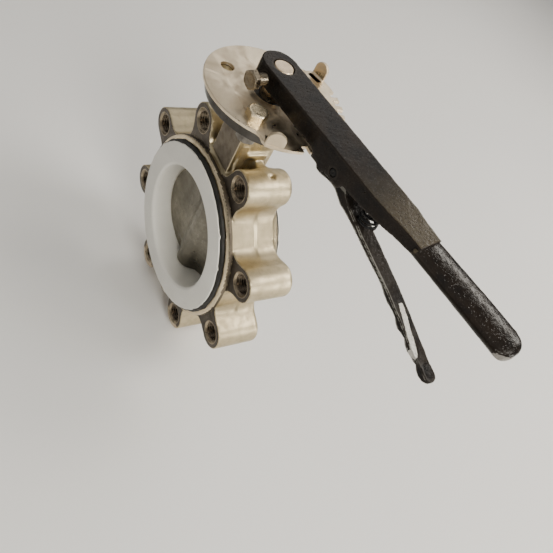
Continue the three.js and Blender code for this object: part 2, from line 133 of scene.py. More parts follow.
def thread(name, r_in, r_out, major, minor, pitch, h0, h1, outward, seg=32, axis="Z", at=(0, 0, 0), lead=0.0):
    """A helical V thread on one wall of a closed tube: outward cuts it on the outside of radius major."""
    rows = int(round((h1 - h0) / (pitch / 5)))
    v, f = [], []
    for i in range(seg):
        a = 2 * math.pi * i / seg
        for j in range(rows + 1):
            h = h0 + (h1 - h0) * j / rows
            ph = (h / pitch - i / seg) % 1.0
            tri = 1 - abs(2 * ph - 1)
            tri = min(1.0, max(0.0, tri * 1.3 - 0.15))
            r = minor + (major - minor) * tri
            if lead:
                e = min(h - h0, h1 - h) / lead
                if e < 1:
                    r = min(r, minor + (major - minor) * e) if outward else r
            v.append((a, r, h))
        v.append((a, r_in if outward else r_out, h1))
        v.append((a, r_in if outward else r_out, h0))
    n = rows + 3
    for i in range(seg):
        k = (i + 1) % seg
        for j in range(n):
            l = (j + 1) % n
            f.append((i * n + j, k * n + j, k * n + l, i * n + l))
    pts = []
    for a, r, h in v:
        u, w = r * math.cos(a), r * math.sin(a)
        pts.append((at[0] + u, at[1] + w, at[2] + h) if axis == "Z" else (at[0] + u, at[1] + h, at[2] + w))
    return new_mesh(name, pts, f)


def hexagon(name, af, h0, h1, axis="Z", at=(0, 0, 0), turn=0.0, chamfer_top=True, chamfer_bottom=False, dish=0.0, bore=0.0, washer=0.0, top_sign=1):
    """A hex head or nut with turned chamfers, made of rings whose radius is the smaller of hexagon and cone."""
    seg = 72
    hgt = h1 - h0
    rc = af / 2 * 0.955
    lv = []
    steps = [0, 0.12, 0.25, 0.45, 0.7, 1.0, 1.35]
    tan = 1 / math.tan(math.radians(28))
    bot = [0.0]
    if chamfer_bottom:
        bot = [s for s in steps]
    top = [hgt - s for s in reversed(steps)] if chamfer_top else [hgt]
    lv = [(b, rc + b * tan if chamfer_bottom else 99) for b in bot] + [(t, rc + (hgt - t) * tan if chamfer_top else 99) for t in top]
    rings = []
    if bore:
        rings.append([(bore + 0.5, 0.0)] * seg)
    else:
        rings.append([(0.0, 0.0)] * seg)
    for hh, lim in lv:
        ring = []
        for i in range(seg):
            a = 2 * math.pi * i / seg
            m = (a + math.pi / 6) % (math.pi / 3) - math.pi / 6
            hx = af / 2 / math.cos(m)
            hx = min(hx, af / 2 / math.cos(math.pi / 6) * 0.985)
            ring.append((min(hx, lim), hh))
        rings.append(ring)
    if bore:
        rings.append([(bore + 0.5, hgt)] * seg)
        rings.append([(bore, hgt - 0.5)] * seg)
        rings.append([(bore, 0.5)] * seg)
    else:
        if dish:
            for r, d in ((rc - 0.9, 0), (rc - 1.5, 0.35), (rc - 2.3, 0.8), (rc - 3.6, 1.0)):
                rings.append([(r, hgt - dish * d)] * seg)
        rings.append([(0.0, hgt - dish)] * seg)
    v, f = [], []
    for ring in rings:
        for i, (r, hh) in enumerate(ring):
            a = 2 * math.pi * i / seg + turn
            u, w = r * math.cos(a), r * math.sin(a)
            hz = (h0 + hh) if top_sign > 0 else (h1 - hh)
            v.append((at[0] + u, at[1] + w, at[2] + hz) if axis == "Z" else (at[0] + u, at[1] + hz, at[2] + w))
    n = len(rings)
    last = n if bore else n - 1
    for j in range(last):
        l = (j + 1) % n
        for i in range(seg):
            k = (i + 1) % seg
            f.append((j * seg + i, j * seg + k, l * seg + k, l * seg + i))
    return new_mesh(name, v, f)


def joined(name, meshes):
    bm = bmesh.new()
    for m in meshes:
        bm.from_mesh(m)
    out = bpy.data.meshes.new(name)
    bm.to_mesh(out)
    bm.free()
    return out


def boolean_cut(mesh, cutters):
    """Mesh minus cutters, exact, through a temporary object."""
    o = bpy.data.objects.new("tmp_cut", mesh)
    COLL.objects.link(o)
    tmp = []
    for c in cutters:
        k = bpy.data.objects.new("tmp_c", c)
        COLL.objects.link(k)
        tmp.append(k)
        md = o.modifiers.new("b", "BOOLEAN")
        md.operation, md.solver, md.object = "DIFFERENCE", "EXACT", k
    dg = bpy.context.evaluated_depsgraph_get()
    res = bpy.data.meshes.new_from_object(o.evaluated_get(dg))
    for k in tmp + [o]:
        bpy.data.objects.remove(k)
    return res


# --------------------------------------------------------- implicit castings
def smin(a, b, k):
    h = np.maximum(k - np.abs(a - b), 0) / k
    return np.minimum(a, b) - h * h * k * 0.25


def smax(a, b, k):
    h = np.maximum(k - np.abs(a - b), 0) / k
    return np.maximum(a, b) + h * h * k * 0.25


def sbox(x, y, z, c, hs, r=0.0):
    qx, qy, qz = np.abs(x - c[0]) - hs[0] + r, np.abs(y - c[1]) - hs[1] + r, np.abs(z - c[2]) - hs[2] + r
    return np.sqrt(np.maximum(qx, 0) ** 2 + np.maximum(qy, 0) ** 2 + np.maximum(qz, 0) ** 2) + np.minimum(np.maximum(qx, np.maximum(qy, qz)), 0) - r


def scyl(rad_, h, r, h0, h1, rr=0.0):
    d = rad_ - r + rr
    e = np.abs(h - (h0 + h1) / 2) - (h1 - h0) / 2 + rr
    return np.minimum(np.maximum(d, e), 0) + np.hypot(np.maximum(d, 0), np.maximum(e, 0)) - rr


def spoly(px, py, pts):
    d = np.full(px.shape, 1e9, np.float32)
    s = np.ones(px.shape, np.float32)
    m = len(pts)
    for i in range(m):
        ax, ay = pts[i]
        bx, by = pts[(i + 1) % m]
        ex, ey = bx - ax, by - ay
        wx, wy = px - ax, py - ay
        t = np.clip((wx * ex + wy * ey) / (ex * ex + ey * ey), 0, 1)
        dx, dy = wx - ex * t, wy - ey * t
        d = np.minimum(d, dx * dx + dy * dy)
        side = ex * wy - ey * wx
        flip = ((ay <= py) & (by > py) & (side > 0)) | ((ay > py) & (by <= py) & (side < 0))
        s = np.where(flip, -s, s)
    return s * np.sqrt(d)


def lumps(x, y, z, size, seed=0.0):
    """Smooth waviness of a casting, about -1 to 1."""
    k = 2 * math.pi / size
    return (
        np.sin(k * (x + 0.3 * y) + 1.1 + seed) * np.sin(k * (0.9 * y - 0.2 * z) + 2.3 * seed + 0.4) * 0.6
        + np.sin(k * 1.7 * (z + 0.25 * x) + 0.7 * seed + 2.0) * np.sin(k * 1.3 * (x - 0.4 * y) + 3.1) * 0.4
        + np.sin(k * 2.6 * (y + 0.5 * z) + 1.9 * seed) * np.sin(k * 2.2 * (x + 0.7 * z) + 0.3) * 0.25
    )


def implicit(name, f, lo, hi, h, zones=None, sharp_pull=0.02):
    """Dual contouring of f (millimetres, negative inside), with sharp features kept.
    Writes two point attributes: one near outward edges, for edge wear and a painted highlight, and one in hollows, for
    painted shade."""
    lo = np.array(lo, float)
    n = np.ceil((np.array(hi, float) - lo) / h).astype(int) + 1
    ax = [(lo[i] + h * np.arange(n[i])).astype(np.float32) for i in range(3)]
    vals = np.empty(tuple(n), np.float32)
    step = max(1, int(200000 / (n[1] * n[2])))
    for i0 in range(0, n[0], step):
        X, Y, Z = np.meshgrid(ax[0][i0 : i0 + step], ax[1], ax[2], indexing="ij")
        vals[i0 : i0 + step] = f(X, Y, Z)
    inside = vals < 0
    E, P, ids, corner = [], [], [], []
    for a in range(3):
        sl0 = [slice(None)] * 3
        sl1 = [slice(None)] * 3
        sl0[a], sl1[a] = slice(0, -1), slice(1, None)
        s0, s1 = inside[tuple(sl0)], inside[tuple(sl1)]
        idx = np.array(np.nonzero(s0 != s1))
        b, c = (a + 1) % 3, (a + 2) % 3
        ok = (idx[b] > 0) & (idx[c] > 0) & (idx[b] < n[b] - 1) & (idx[c] < n[c] - 1)
        idx = idx[:, ok]
        v0 = vals[tuple(idx)]
        j = idx.copy()
        j[a] += 1
        v1 = vals[tuple(j)]
        t0, t1 = np.zeros(len(v0)), np.ones(len(v0))
        p0 = np.stack([ax[q][idx[q]] for q in range(3)], 1).astype(np.float64)
        f0, f1 = v0.astype(float), v1.astype(float)
        for _ in range(3):
            t = t0 + (t1 - t0) * np.clip(f0 / (f0 - f1 + 1e-30), 0.05, 0.95)
            p = p0.copy()
            p[:, a] += t * h
            ft = f(p[:, 0].astype(np.float32), p[:, 1].astype(np.float32), p[:, 2].astype(np.float32)).astype(float)
            left = (ft < 0) == (f0 < 0)
            t0, f0 = np.where(left, t, t0), np.where(left, ft, f0)
            t1, f1 = np.where(left, t1, t), np.where(left, f1, ft)
        t = t0 + (t1 - t0) * np.clip(f0 / (f0 - f1 + 1e-30), 0, 1)
        p = p0.copy()
        p[:, a] += t * h
        P.append(p)
        cells = []
        for db, dc in ((-1, -1), (0, -1), (0, 0), (-1, 0)):
            q = idx.copy()
            q[b] += db
            q[c] += dc
            cells.append((q[0] * n[1] + q[1]) * n[2] + q[2])
        cells = np.stack(cells, 1)
        out = v0 >= 0
        cells[out] = cells[out][:, ::-1]
        ids.append(cells)
    P = np.concatenate(P)
    ids = np.concatenate(ids)
    e = 0.04
    G = np.empty_like(P)
    Pf = P.astype(np.float32)
    for a in range(3):
        q0, q1 = Pf.copy(), Pf.copy()
        q0[:, a] -= e
        q1[:, a] += e
        G[:, a] = f(q1[:, 0], q1[:, 1], q1[:, 2]).astype(float) - f(q0[:, 0], q0[:, 1], q0[:, 2]).astype(float)
    G /= np.linalg.norm(G, axis=1, keepdims=True) + 1e-12
    uniq, inv = np.unique(ids.ravel(), return_inverse=True)
    m = len(uniq)
    rep = np.repeat(np.arange(len(P)), 4)
    cnt = np.bincount(inv, minlength=m).astype(float)
    mass = np.stack([np.bincount(inv, P[rep, a], m) for a in range(3)], 1) / cnt[:, None]
    D = P[rep] - mass[inv]
    N = G[rep]
    dist = (N * D).sum(1)
    A = np.zeros((m, 3, 3))
    B = np.zeros((m, 3))
    for a in range(3):
        B[:, a] = np.bincount(inv, N[:, a] * dist, m)
        for b in range(a, 3):
            w = np.bincount(inv, N[:, a] * N[:, b], m)
            A[:, a, b] = w
            A[:, b, a] = w
    A += np.eye(3) * (sharp_pull * cnt)[:, None, None]
    V = mass + np.linalg.solve(A, B[:, :, None])[:, :, 0]
    ci = np.stack([uniq // (n[1] * n[2]), (uniq // n[2]) % n[1], uniq % n[2]], 1)
    centre = lo + (ci + 0.5) * h
    V = np.clip(V, centre - 0.5 * h, centre + 0.5 * h)
    F = inv.reshape(-1, 4)
    me = bpy.data.meshes.new(name)
    me.vertices.add(m)
    me.vertices.foreach_set("co", V.astype(np.float32).ravel())
    me.loops.add(len(F) * 4)
    me.loops.foreach_set("vertex_index", F.ravel().astype(np.int32))
    me.polygons.add(len(F))
    me.polygons.foreach_set("loop_start", np.arange(0, len(F) * 4, 4, dtype=np.int32))
    me.polygons.foreach_set("loop_total", np.full(len(F), 4, dtype=np.int32))
    me.update(calc_edges=True)
    # outward normals and edge measures
    NV = np.stack([np.bincount(inv, N[:, a], m) for a in range(3)], 1)
    NV /= np.linalg.norm(NV, axis=1, keepdims=True) + 1e-12

    def at(d):
        q = (V + NV * d).astype(np.float32)
        return f(q[:, 0], q[:, 1], q[:, 2]).astype(float)

    # edge measure: wear and painted highlight; hollow measure: painted shade
    edge_wear_and_sheen = np.clip(1.0 + at(-2.2) / 2.2, 0, 1)
    cavity_shade = np.clip(1.0 - at(3.0) / 3.0, 0, 1)
    for key, val in (("edge_wear_and_sheen", edge_wear_and_sheen), ("cavity_shade", cavity_shade)):
        me.attributes.new(key, "FLOAT", "POINT").data.foreach_set("value", val.astype(np.float32))
    if zones:
        FC = V[F].mean(1)
        FN = np.cross(V[F[:, 2]] - V[F[:, 0]], V[F[:, 3]] - V[F[:, 1]])
        FN /= np.linalg.norm(FN, axis=1, keepdims=True) + 1e-12
        me.polygons.foreach_set("material_index", zones(FC, FN).astype(np.int32))
    return me


# ------------------------------------------------------------------ materials
class Nodes:
    """Short hand for a Principled material built from object coordinates."""

    def __init__(self, name, metallic=0.0, **consts):
        self.m = bpy.data.materials.new(name)
        self.m.use_nodes = True
        self.t = self.m.node_tree
        self.b = self.t.nodes["Principled BSDF"]
        self.b.inputs["Metallic"].default_value = metallic
        for k, v in consts.items():
            self.b.inputs[k.replace("_", " ")].default_value = v
        self.tc = self.t.nodes.new("ShaderNodeTexCoord").outputs["Object"]

    def link(self, a, b):
        if isinstance(a, (int, float)):
            b.default_value = a
        elif isinstance(a, (tuple, list)):
            b.default_value = (*a, 1.0)[: len(b.default_value)]
        else:
            self.t.links.new(a, b)

    def node(self, kind, **props):
        n = self.t.nodes.new(kind)
        for k, v in props.items():
            setattr(n, k, v)
        return n

    def coords(self, scale=(1, 1, 1), rot=(0, 0, 0), loc=(0, 0, 0)):
        n = self.node("ShaderNodeMapping")
        self.link(self.tc, n.inputs["Vector"])
        n.inputs["Scale"].default_value = scale
        n.inputs["Rotation"].default_value = rot
        n.inputs["Location"].default_value = loc
        return n.outputs[0]

    def noise(self, scale, detail=2.0, rough=0.5, vec=None, distortion=0.0):
        n = self.node("ShaderNodeTexNoise")
        self.link(vec if vec is not None else self.tc, n.inputs["Vector"])
        n.inputs["Scale"].default_value = scale
        n.inputs["Detail"].default_value = detail
        n.inputs["Roughness"].default_value = rough
        n.inputs["Distortion"].default_value = distortion
        return n.outputs["Fac"]

    def voronoi(self, scale, vec=None, feature="F1"):
        n = self.node("ShaderNodeTexVoronoi", feature=feature)
        self.link(vec if vec is not None else self.tc, n.inputs["Vector"])
        n.inputs["Scale"].default_value = scale
        return n.outputs["Distance"]

    def ramp(self, fac, *stops, smooth=True):
        n = self.node("ShaderNodeMapRange", interpolation_type="SMOOTHSTEP" if smooth else "LINEAR")
        self.link(fac, n.inputs["Value"])
        for k, v in zip(("From Min", "From Max", "To Min", "To Max"), stops):
            n.inputs[k].default_value = v
        return n.outputs["Result"]

    def math(self, op, a, b=0.0, clamp=False):
        n = self.node("ShaderNodeMath", operation=op, use_clamp=clamp)
        self.link(a, n.inputs[0])
        self.link(b, n.inputs[1])
        return n.outputs[0]

    def mix(self, fac, a, b, blend="MIX"):
        n = self.node("ShaderNodeMix", data_type="RGBA", blend_type=blend)
        self.link(fac, n.inputs[0])
        self.link(a, n.inputs[6])
        self.link(b, n.inputs[7])
        return n.outputs[2]

    def attr(self, name):
        n = self.node("ShaderNodeAttribute", attribute_name=name)
        return n.outputs["Fac"]

    def xyz(self, vec=None):
        n = self.node("ShaderNodeSeparateXYZ")
        self.link(vec if vec is not None else self.tc, n.inputs[0])
        return n.outputs

    def bump(self, height, distance, strength=1.0, normal=None):
        n = self.node("ShaderNodeBump")
        n.inputs["Strength"].default_value = strength
        n.inputs["Distance"].default_value = distance
        self.link(height, n.inputs["Height"])
        if normal is not None:
            self.link(normal, n.inputs["Normal"])
        return n.outputs[0]

    def out(self, color=None, rough=None, normal=None, metal=None):
        if color is not None:
            self.link(color, self.b.inputs["Base Color"])
        if rough is not None:
            self.link(rough, self.b.inputs["Roughness"])
        if normal is not None:
            self.link(normal, self.b.inputs["Normal"])
        if metal is not None:
            self.link(metal, self.b.inputs["Metallic"])
        return self.m


def cast_steel(name, light, dark, rough=(0.36, 0.50), grain=1.0):
    """Blasted stainless casting: satin, warm, with painted shade in the hollows and edges painted lighter, part
    burnished wear and part painted highlight.
    """
    k = Nodes(name, metallic=1.0)
    big = k.noise(24, 3, 0.55)
    mid = k.noise(170, 4, 0.6)
    fine = k.noise(1700, 3, 0.6)
    pits = k.voronoi(900)
    c = k.mix(k.ramp(big, 0.32, 0.68, 0, 1), dark, light)
    c = k.mix(k.math("MULTIPLY", k.ramp(mid, 0.42, 0.7, 0, 1), 0.35), c, tuple(v * 0.72 for v in dark))
    # painted shade: darker towards hollows
    c = k.mix(k.math("MULTIPLY", k.ramp(k.attr("cavity_shade"), 0.25, 0.85, 0, 1), 0.75), c, tuple(v * 0.3 for v in dark))
    # edges painted lighter: part burnished wear, part painted highlight
    c = k.mix(k.math("MULTIPLY", k.ramp(k.attr("edge_wear_and_sheen"), 0.2, 0.55, 0, 1), 0.55), c, tuple(min(1, v * 1.18) for v in light))
    r = k.ramp(mid, 0.3, 0.7, rough[0], rough[1])
    r = k.math("ADD", r, k.math("MULTIPLY", k.math("SUBTRACT", fine, 0.5), 0.22))
    r = k.math("SUBTRACT", r, k.math("MULTIPLY", k.ramp(k.attr("edge_wear_and_sheen"), 0.2, 0.55, 0, 1), 0.1), clamp=True)
    b = k.bump(fine, 0.0001 * grain, 0.5)
    b = k.bump(k.ramp(pits, 0.0, 0.35, 0, 1), 0.0001 * grain, 0.3, b)
    b = k.bump(mid, 0.0003 * grain, 0.25, b)
    return k.out(c, r, b)


def turned_steel(name, light, dark, rough=0.25, centre=(0, 0, 0), plane="XZ", pitch=900.0):
    """Machined steel with fine concentric tool marks about a centre in a plane."""
    k = Nodes(name, metallic=1.0)
    v = k.xyz(k.coords(loc=tuple(-c for c in centre)))
    a, b = (v[0], v[2]) if plane == "XZ" else (v[0], v[1])
    r2 = k.math("SQRT", k.math("ADD", k.math("MULTIPLY", a, a), k.math("MULTIPLY", b, b)))
    j = k.math("MULTIPLY", k.noise(60, 2, 0.5), 0.0006)
    wave = k.math("SINE", k.math("MULTIPLY", k.math("ADD", r2, j), pitch * 2 * math.pi))
    big = k.noise(45, 4, 0.6)
    smear = k.noise(230, 3, 0.65)
    c = k.mix(k.ramp(big, 0.3, 0.7, 0, 1), dark, light)
    c = k.mix(k.math("MULTIPLY", k.ramp(smear, 0.5, 0.75, 0, 1), 0.4), c, tuple(x * 0.6 for x in dark))
    r = k.math("ADD", k.ramp(smear, 0.3, 0.7, rough * 0.8, rough * 1.35), k.math("MULTIPLY", wave, 0.03), clamp=True)
    n = k.bump(wave, 0.00002, 0.5)
    n = k.bump(smear, 0.00012, 0.25, n)
    return k.out(c, r, n)


def polished(name, light, dark, rough=0.07):
    """Polished stainless sheet: mirror with a haze, faint brushing and finger smears."""
    k = Nodes(name, metallic=1.0)
    scr = k.noise(900, 3, 0.6, k.coords(scale=(1, 0.04, 1), rot=(0, 0, 0.5)))
    scr2 = k.noise(1300, 2, 0.6, k.coords(scale=(0.05, 1, 1), rot=(0, 0, 0.15)))
    smear = k.noise(55, 4, 0.6, distortion=0.6)
    blot = k.noise(150, 3, 0.6)
    c = k.mix(k.ramp(smear, 0.35, 0.7, 0, 1), light, dark)
    r = k.ramp(smear, 0.3, 0.75, rough, rough * 2.6)
    r = k.math("ADD", r, k.math("MULTIPLY", k.ramp(blot, 0.5, 0.8, 0, 1), rough * 1.2))
    r = k.math("ADD", r, k.math("MULTIPLY", k.math("SUBTRACT", scr, 0.5), 0.08), clamp=True)
    n = k.bump(scr, 0.00001, 0.4)
    n = k.bump(scr2, 0.00001, 0.4, n)
    n = k.bump(k.noise(38, 2, 0.5), 0.00018, 0.5, n)
    return k.out(c, r, n)


def ptfe_mat(name):
    """Moulded and skimmed PTFE: waxy white, faint tool rings and grey handling marks."""
    k = Nodes(name, metallic=0.0)
    v = k.xyz()
    r2 = k.math("SQRT", k.math("ADD", k.math("MULTIPLY", v[0], v[0]), k.math("MULTIPLY", v[2], v[2])))
    ring = k.math("SINE", k.math("MULTIPLY", k.math("ADD", r2, k.math("MULTIPLY", k.noise(40, 2, 0.5), 0.0004)), 2 * math.pi * 1100))
    big = k.noise(24, 4, 0.55)
    mark = k.noise(130, 5, 0.65, distortion=1.0)
    speck = k.noise(900, 2, 0.6)
    c = k.mix(k.ramp(big, 0.3, 0.7, 0, 1), (0.82, 0.80, 0.735), (0.88, 0.865, 0.80))
    c = k.mix(k.math("MULTIPLY", k.ramp(mark, 0.6, 0.8, 0, 1), 0.22), c, (0.52, 0.50, 0.46))
    c = k.mix(k.math("MULTIPLY", k.ramp(speck, 0.66, 0.76, 0, 1), 0.2), c, (0.45, 0.42, 0.38))
    r = k.ramp(mark, 0.3, 0.7, 0.34, 0.52)
    n = k.bump(ring, 0.00002, 0.35)
    n = k.bump(mark, 0.0002, 0.25, n)
    return k.out(c, r, n)


def rubber_mat(name):
    k = Nodes(name, metallic=0.0)
    big = k.noise(70, 4, 0.6)
    fine = k.noise(1400, 4, 0.65)
    c = k.mix(k.ramp(big, 0.3, 0.7, 0, 1), (0.005, 0.0048, 0.0043), (0.014, 0.0125, 0.0105))
    c = k.mix(k.math("MULTIPLY", k.ramp(fine, 0.62, 0.8, 0, 1), 0.3), c, (0.06, 0.055, 0.048))
    r = k.ramp(big, 0.3, 0.7, 0.48, 0.72)
    n = k.bump(fine, 0.00012, 0.5)
    n = k.bump(big, 0.0008, 0.4, n)
    return k.out(c, r, n)


def bronze_mat(name):
    k = Nodes(name, metallic=1.0)
    v = k.xyz()
    wave = k.math("SINE", k.math("MULTIPLY", v[2], 2 * math.pi * 1600))
    big = k.noise(90, 4, 0.6)
    c = k.mix(k.ramp(big, 0.3, 0.7, 0, 1), (0.42, 0.29, 0.12), (0.62, 0.47, 0.24))
    r = k.ramp(big, 0.3, 0.7, 0.28, 0.45)
    return k.out(c, r, k.bump(wave, 0.00002, 0.5, k.bump(big, 0.0002, 0.3)))


def paint_mat(name, chip=None, rub_patch_and_sheen=None, top=(0.0165, 0.0120, 0.0090), side=(0.0065, 0.0060, 0.0062), edge=None):
    """Brushed-on gloss black over a rough iron casting: orange peel, dust, chips where asked, edges painted lighter
    (part wear, part painted highlight) and, where a rubbed patch is asked, a painted sheen on upward faces before the
    grip.
    chip and rubbed are (along0, along1, across0, across1, low, high) in metres in the lever's own frame."""
    k = Nodes(name, metallic=0.0)
    k.b.inputs["Coat Weight"].default_value = 0.04
    k.b.inputs["Coat Roughness"].default_value = 0.08
    k.b.inputs["Specular IOR Level"].default_value = 0.09
    own = k.coords(rot=(0, 0, -REST))
    s = k.xyz(own)
    peel = k.noise(420, 3, 0.55, own)
    fine = k.noise(1500, 3, 0.6, own)
    big = k.noise(60, 4, 0.6, own)
    grit = k.voronoi(640, own)
    nz = k.node("ShaderNodeNewGeometry").outputs["Normal"]
    c = k.mix(k.ramp(big, 0.3, 0.7, 0, 1), side, top)
    # edges painted lighter: part worn paint, part painted highlight
    c = k.mix(k.math("MULTIPLY", k.ramp(k.attr("edge_wear_and_sheen"), 0.18, 0.5, 0, 1), 0.55), c, (0.035, 0.029, 0.024))
    dust = k.math("MULTIPLY", k.ramp(fine, 0.60, 0.74, 0, 1), 0.4)
    c = k.mix(dust, c, (0.075, 0.066, 0.058))
    r = k.ramp(peel, 0.3, 0.7, 0.16, 0.30)
    if rub_patch_and_sheen:  # painted sheen: on the casting's rougher end before the grip, upward faces are painted a lighter, speckled warm brown as a painted reflection
        top_sheen = k.math("MULTIPLY", k.ramp(s[0], 0.085, 0.142, 0, 1), k.ramp(s[0], 0.1512, 0.1520, 1, 0))
        top_sheen = k.math("MULTIPLY", top_sheen, k.ramp(grit, 0.08, 0.5, 0.35, 1.0))
        # only upward-facing faces get this colour: a painted reflection
        top_sheen = k.math("MULTIPLY", top_sheen, k.ramp(k.xyz(nz)[2], 0.55, 0.85, 0, 1))
        c = k.mix(k.math("MULTIPLY", top_sheen, 0.75), c, (0.085, 0.070, 0.047))
        r = k.math("MULTIPLY", r, k.ramp(s[0], 0.1505, 0.1525, 1.0, 0.62))
    if edge is not None:  # a lighter line along one long edge: part rubbed paint, part painted highlight
        line = k.math("MULTIPLY", k.ramp(k.attr("edge_wear_and_sheen"), 0.40, 0.5, 0, 1), k.ramp(s[1], -edge, -edge + 0.0005, 1, 0))
        line = k.math("MULTIPLY", line, k.ramp(big, 0.35, 0.5, 0.15, 0.8))
        c = k.mix(line, c, (0.26, 0.25, 0.225))
    r = k.math("ADD", r, k.math("MULTIPLY", dust, 0.3), clamp=True)
    n = k.bump(fine, 0.0001, 0.5)
    n = k.bump(k.ramp(grit, 0.0, 0.4, 0, 1), 0.00026, 0.5, n)
    n = k.bump(peel, 0.00032, 0.5, n)
    metal = 0.0
    slant = k.math("ADD", s[1], k.math("MULTIPLY", k.math("SUBTRACT", s[0], 0.163), 0.165))
    for box, colour, rr, mt, thr in ((chip, (0.56, 0.54, 0.50), 0.4, 0.85, 0.52), (rub_patch_and_sheen, (0.27, 0.255, 0.235), 0.42, 0.3, 0.50)):
        if not box:
            continue
        inside = None
        for ax_, (a, b) in zip((0, 1, 2), ((box[0], box[1]), (box[2], box[3]), (box[4], box[5]))):
            soft = (0.0045, 0.0016, 0.0022)[ax_]
            q = slant if ax_ == 1 and box is chip else s[ax_]
            g = k.math("MULTIPLY", k.ramp(q, a - soft, a + soft, 0, 1), k.ramp(q, b - soft, b + soft, 1, 0))
            inside = g if inside is None else k.math("MULTIPLY", inside, g)
        rag = k.math("ADD", k.noise(330, 5, 0.62, own), k.math("MULTIPLY", k.math("SUBTRACT", inside, 0.5), 0.9))
        mask = k.ramp(rag, thr + 0.06, thr + 0.1, 0, 1)
        c = k.mix(mask, c, k.mix(k.ramp(fine, 0.35, 0.7, 0, 1), colour, tuple(v * 0.6 for v in colour)))
        r = k.mix(mask, r, k.ramp(fine, 0.3, 0.7, rr, rr + 0.2))
        n = k.bump(k.math("SUBTRACT", 1.0, mask), 0.00012, 0.8, n)
        metal = k.math("MULTIPLY", mask, mt) if metal == 0.0 else k.math("MAXIMUM", metal, k.math("MULTIPLY", mask, mt))
    return k.out(c, r, n, metal if metal != 0.0 else None)


WARM_L, WARM_D = (0.60, 0.515, 0.345), (0.43, 0.362, 0.237)
M = {
    "cast": cast_steel("cast_stainless", WARM_L, WARM_D),
    # painted shade: the lugs' flat end faces are made near black to stand in for shade
    "lug_face": turned_steel("lug_face_painted_shade", (0.112, 0.094, 0.074), (0.06, 0.050, 0.040), 0.36, pitch=700),
    "seat_land": turned_steel("machined_rim", (0.60, 0.49, 0.35), (0.42, 0.335, 0.235), 0.30, pitch=1100),
    # painted shade: the hole mouths' chamfers are darkened to stand in for shade
    "chamfer": turned_steel("chamfer_painted_shade", (0.46, 0.385, 0.275), (0.33, 0.27, 0.19), 0.3, pitch=1400),
    # painted light: the seat face rings are made far lighter than the casting so they read as lit
    "face_ring": turned_steel("face_ring_painted_light", (0.84, 0.71, 0.50), (0.62, 0.52, 0.36), 0.34, pitch=1100),
    # painted shade: dark casting for the lug hole bores, the ring step and the neck pad's front face
    "dark_face": cast_steel("painted_shade_cast", (0.20, 0.168, 0.126), (0.108, 0.09, 0.069), (0.36, 0.52), 1.3),
    # painted shade: the top flange's rim and top face, under the notch plate, made near black
    "rim": turned_steel("flange_rim_painted_shade", (0.10, 0.093, 0.085), (0.06, 0.056, 0.05), 0.2, plane="XY", pitch=1300),
    # painted shade: the threads inside the lug holes are darkened
    "thread": turned_steel("thread_painted_shade", (0.24, 0.195, 0.14), (0.13, 0.105, 0.078), 0.26, pitch=900),
    # painted shade: the disc, seen inside the bore, is made much darker than the body's casting
    "disc": cast_steel("disc_stainless", (0.25, 0.233, 0.192), (0.15, 0.138, 0.112), (0.26, 0.42), 0.7),
    "turned": turned_steel("turned_stainless", (0.66, 0.59, 0.48), (0.50, 0.44, 0.35), 0.24, plane="XY", pitch=1500),
    "stem": turned_steel("stem_bar", (0.74, 0.60, 0.43), (0.66, 0.53, 0.37), 0.27, plane="XY", pitch=1500),
    "plate": polished("polished_sheet", (0.78, 0.665, 0.495), (0.69, 0.585, 0.43), 0.25),
    "bolt": turned_steel("bright_fastener", (0.92, 0.79, 0.56), (0.74, 0.62, 0.42), 0.22, plane="XY", pitch=1300),
    "ptfe": ptfe_mat("ptfe_seat"),
    "rubber": rubber_mat("black_rubber"),
    "bronze": bronze_mat("bronze_bush"),
    "lever": paint_mat("lever_paint", rub_patch_and_sheen=(0.2165, 0.230, -0.0125, 0.0015, 0.150, 0.1590)),
    "trigger": paint_mat("trigger_paint", chip=(0.162, 0.1955, -0.0020, 0.0029, 0.1, 0.118), edge=0.0056),
    "pin": paint_mat("pin_paint", top=(0.018, 0.017, 0.016), side=(0.010, 0.010, 0.011)),
    "spring": paint_mat("spring_paint", top=(0.018, 0.018, 0.019), side=(0.010, 0.010, 0.011)),
    "screw": turned_steel("clamp_screw_steel", (0.44, 0.375, 0.28), (0.28, 0.235, 0.175), 0.28, plane="XZ", pitch=1300),
    "dark_steel": turned_steel("oiled_steel", (0.24, 0.225, 0.20), (0.13, 0.12, 0.105), 0.3, plane="XY"),
}

# ------------------------------------------------------------------ the body
LUGS = [22.5 + 45 * i for i in range(8)]


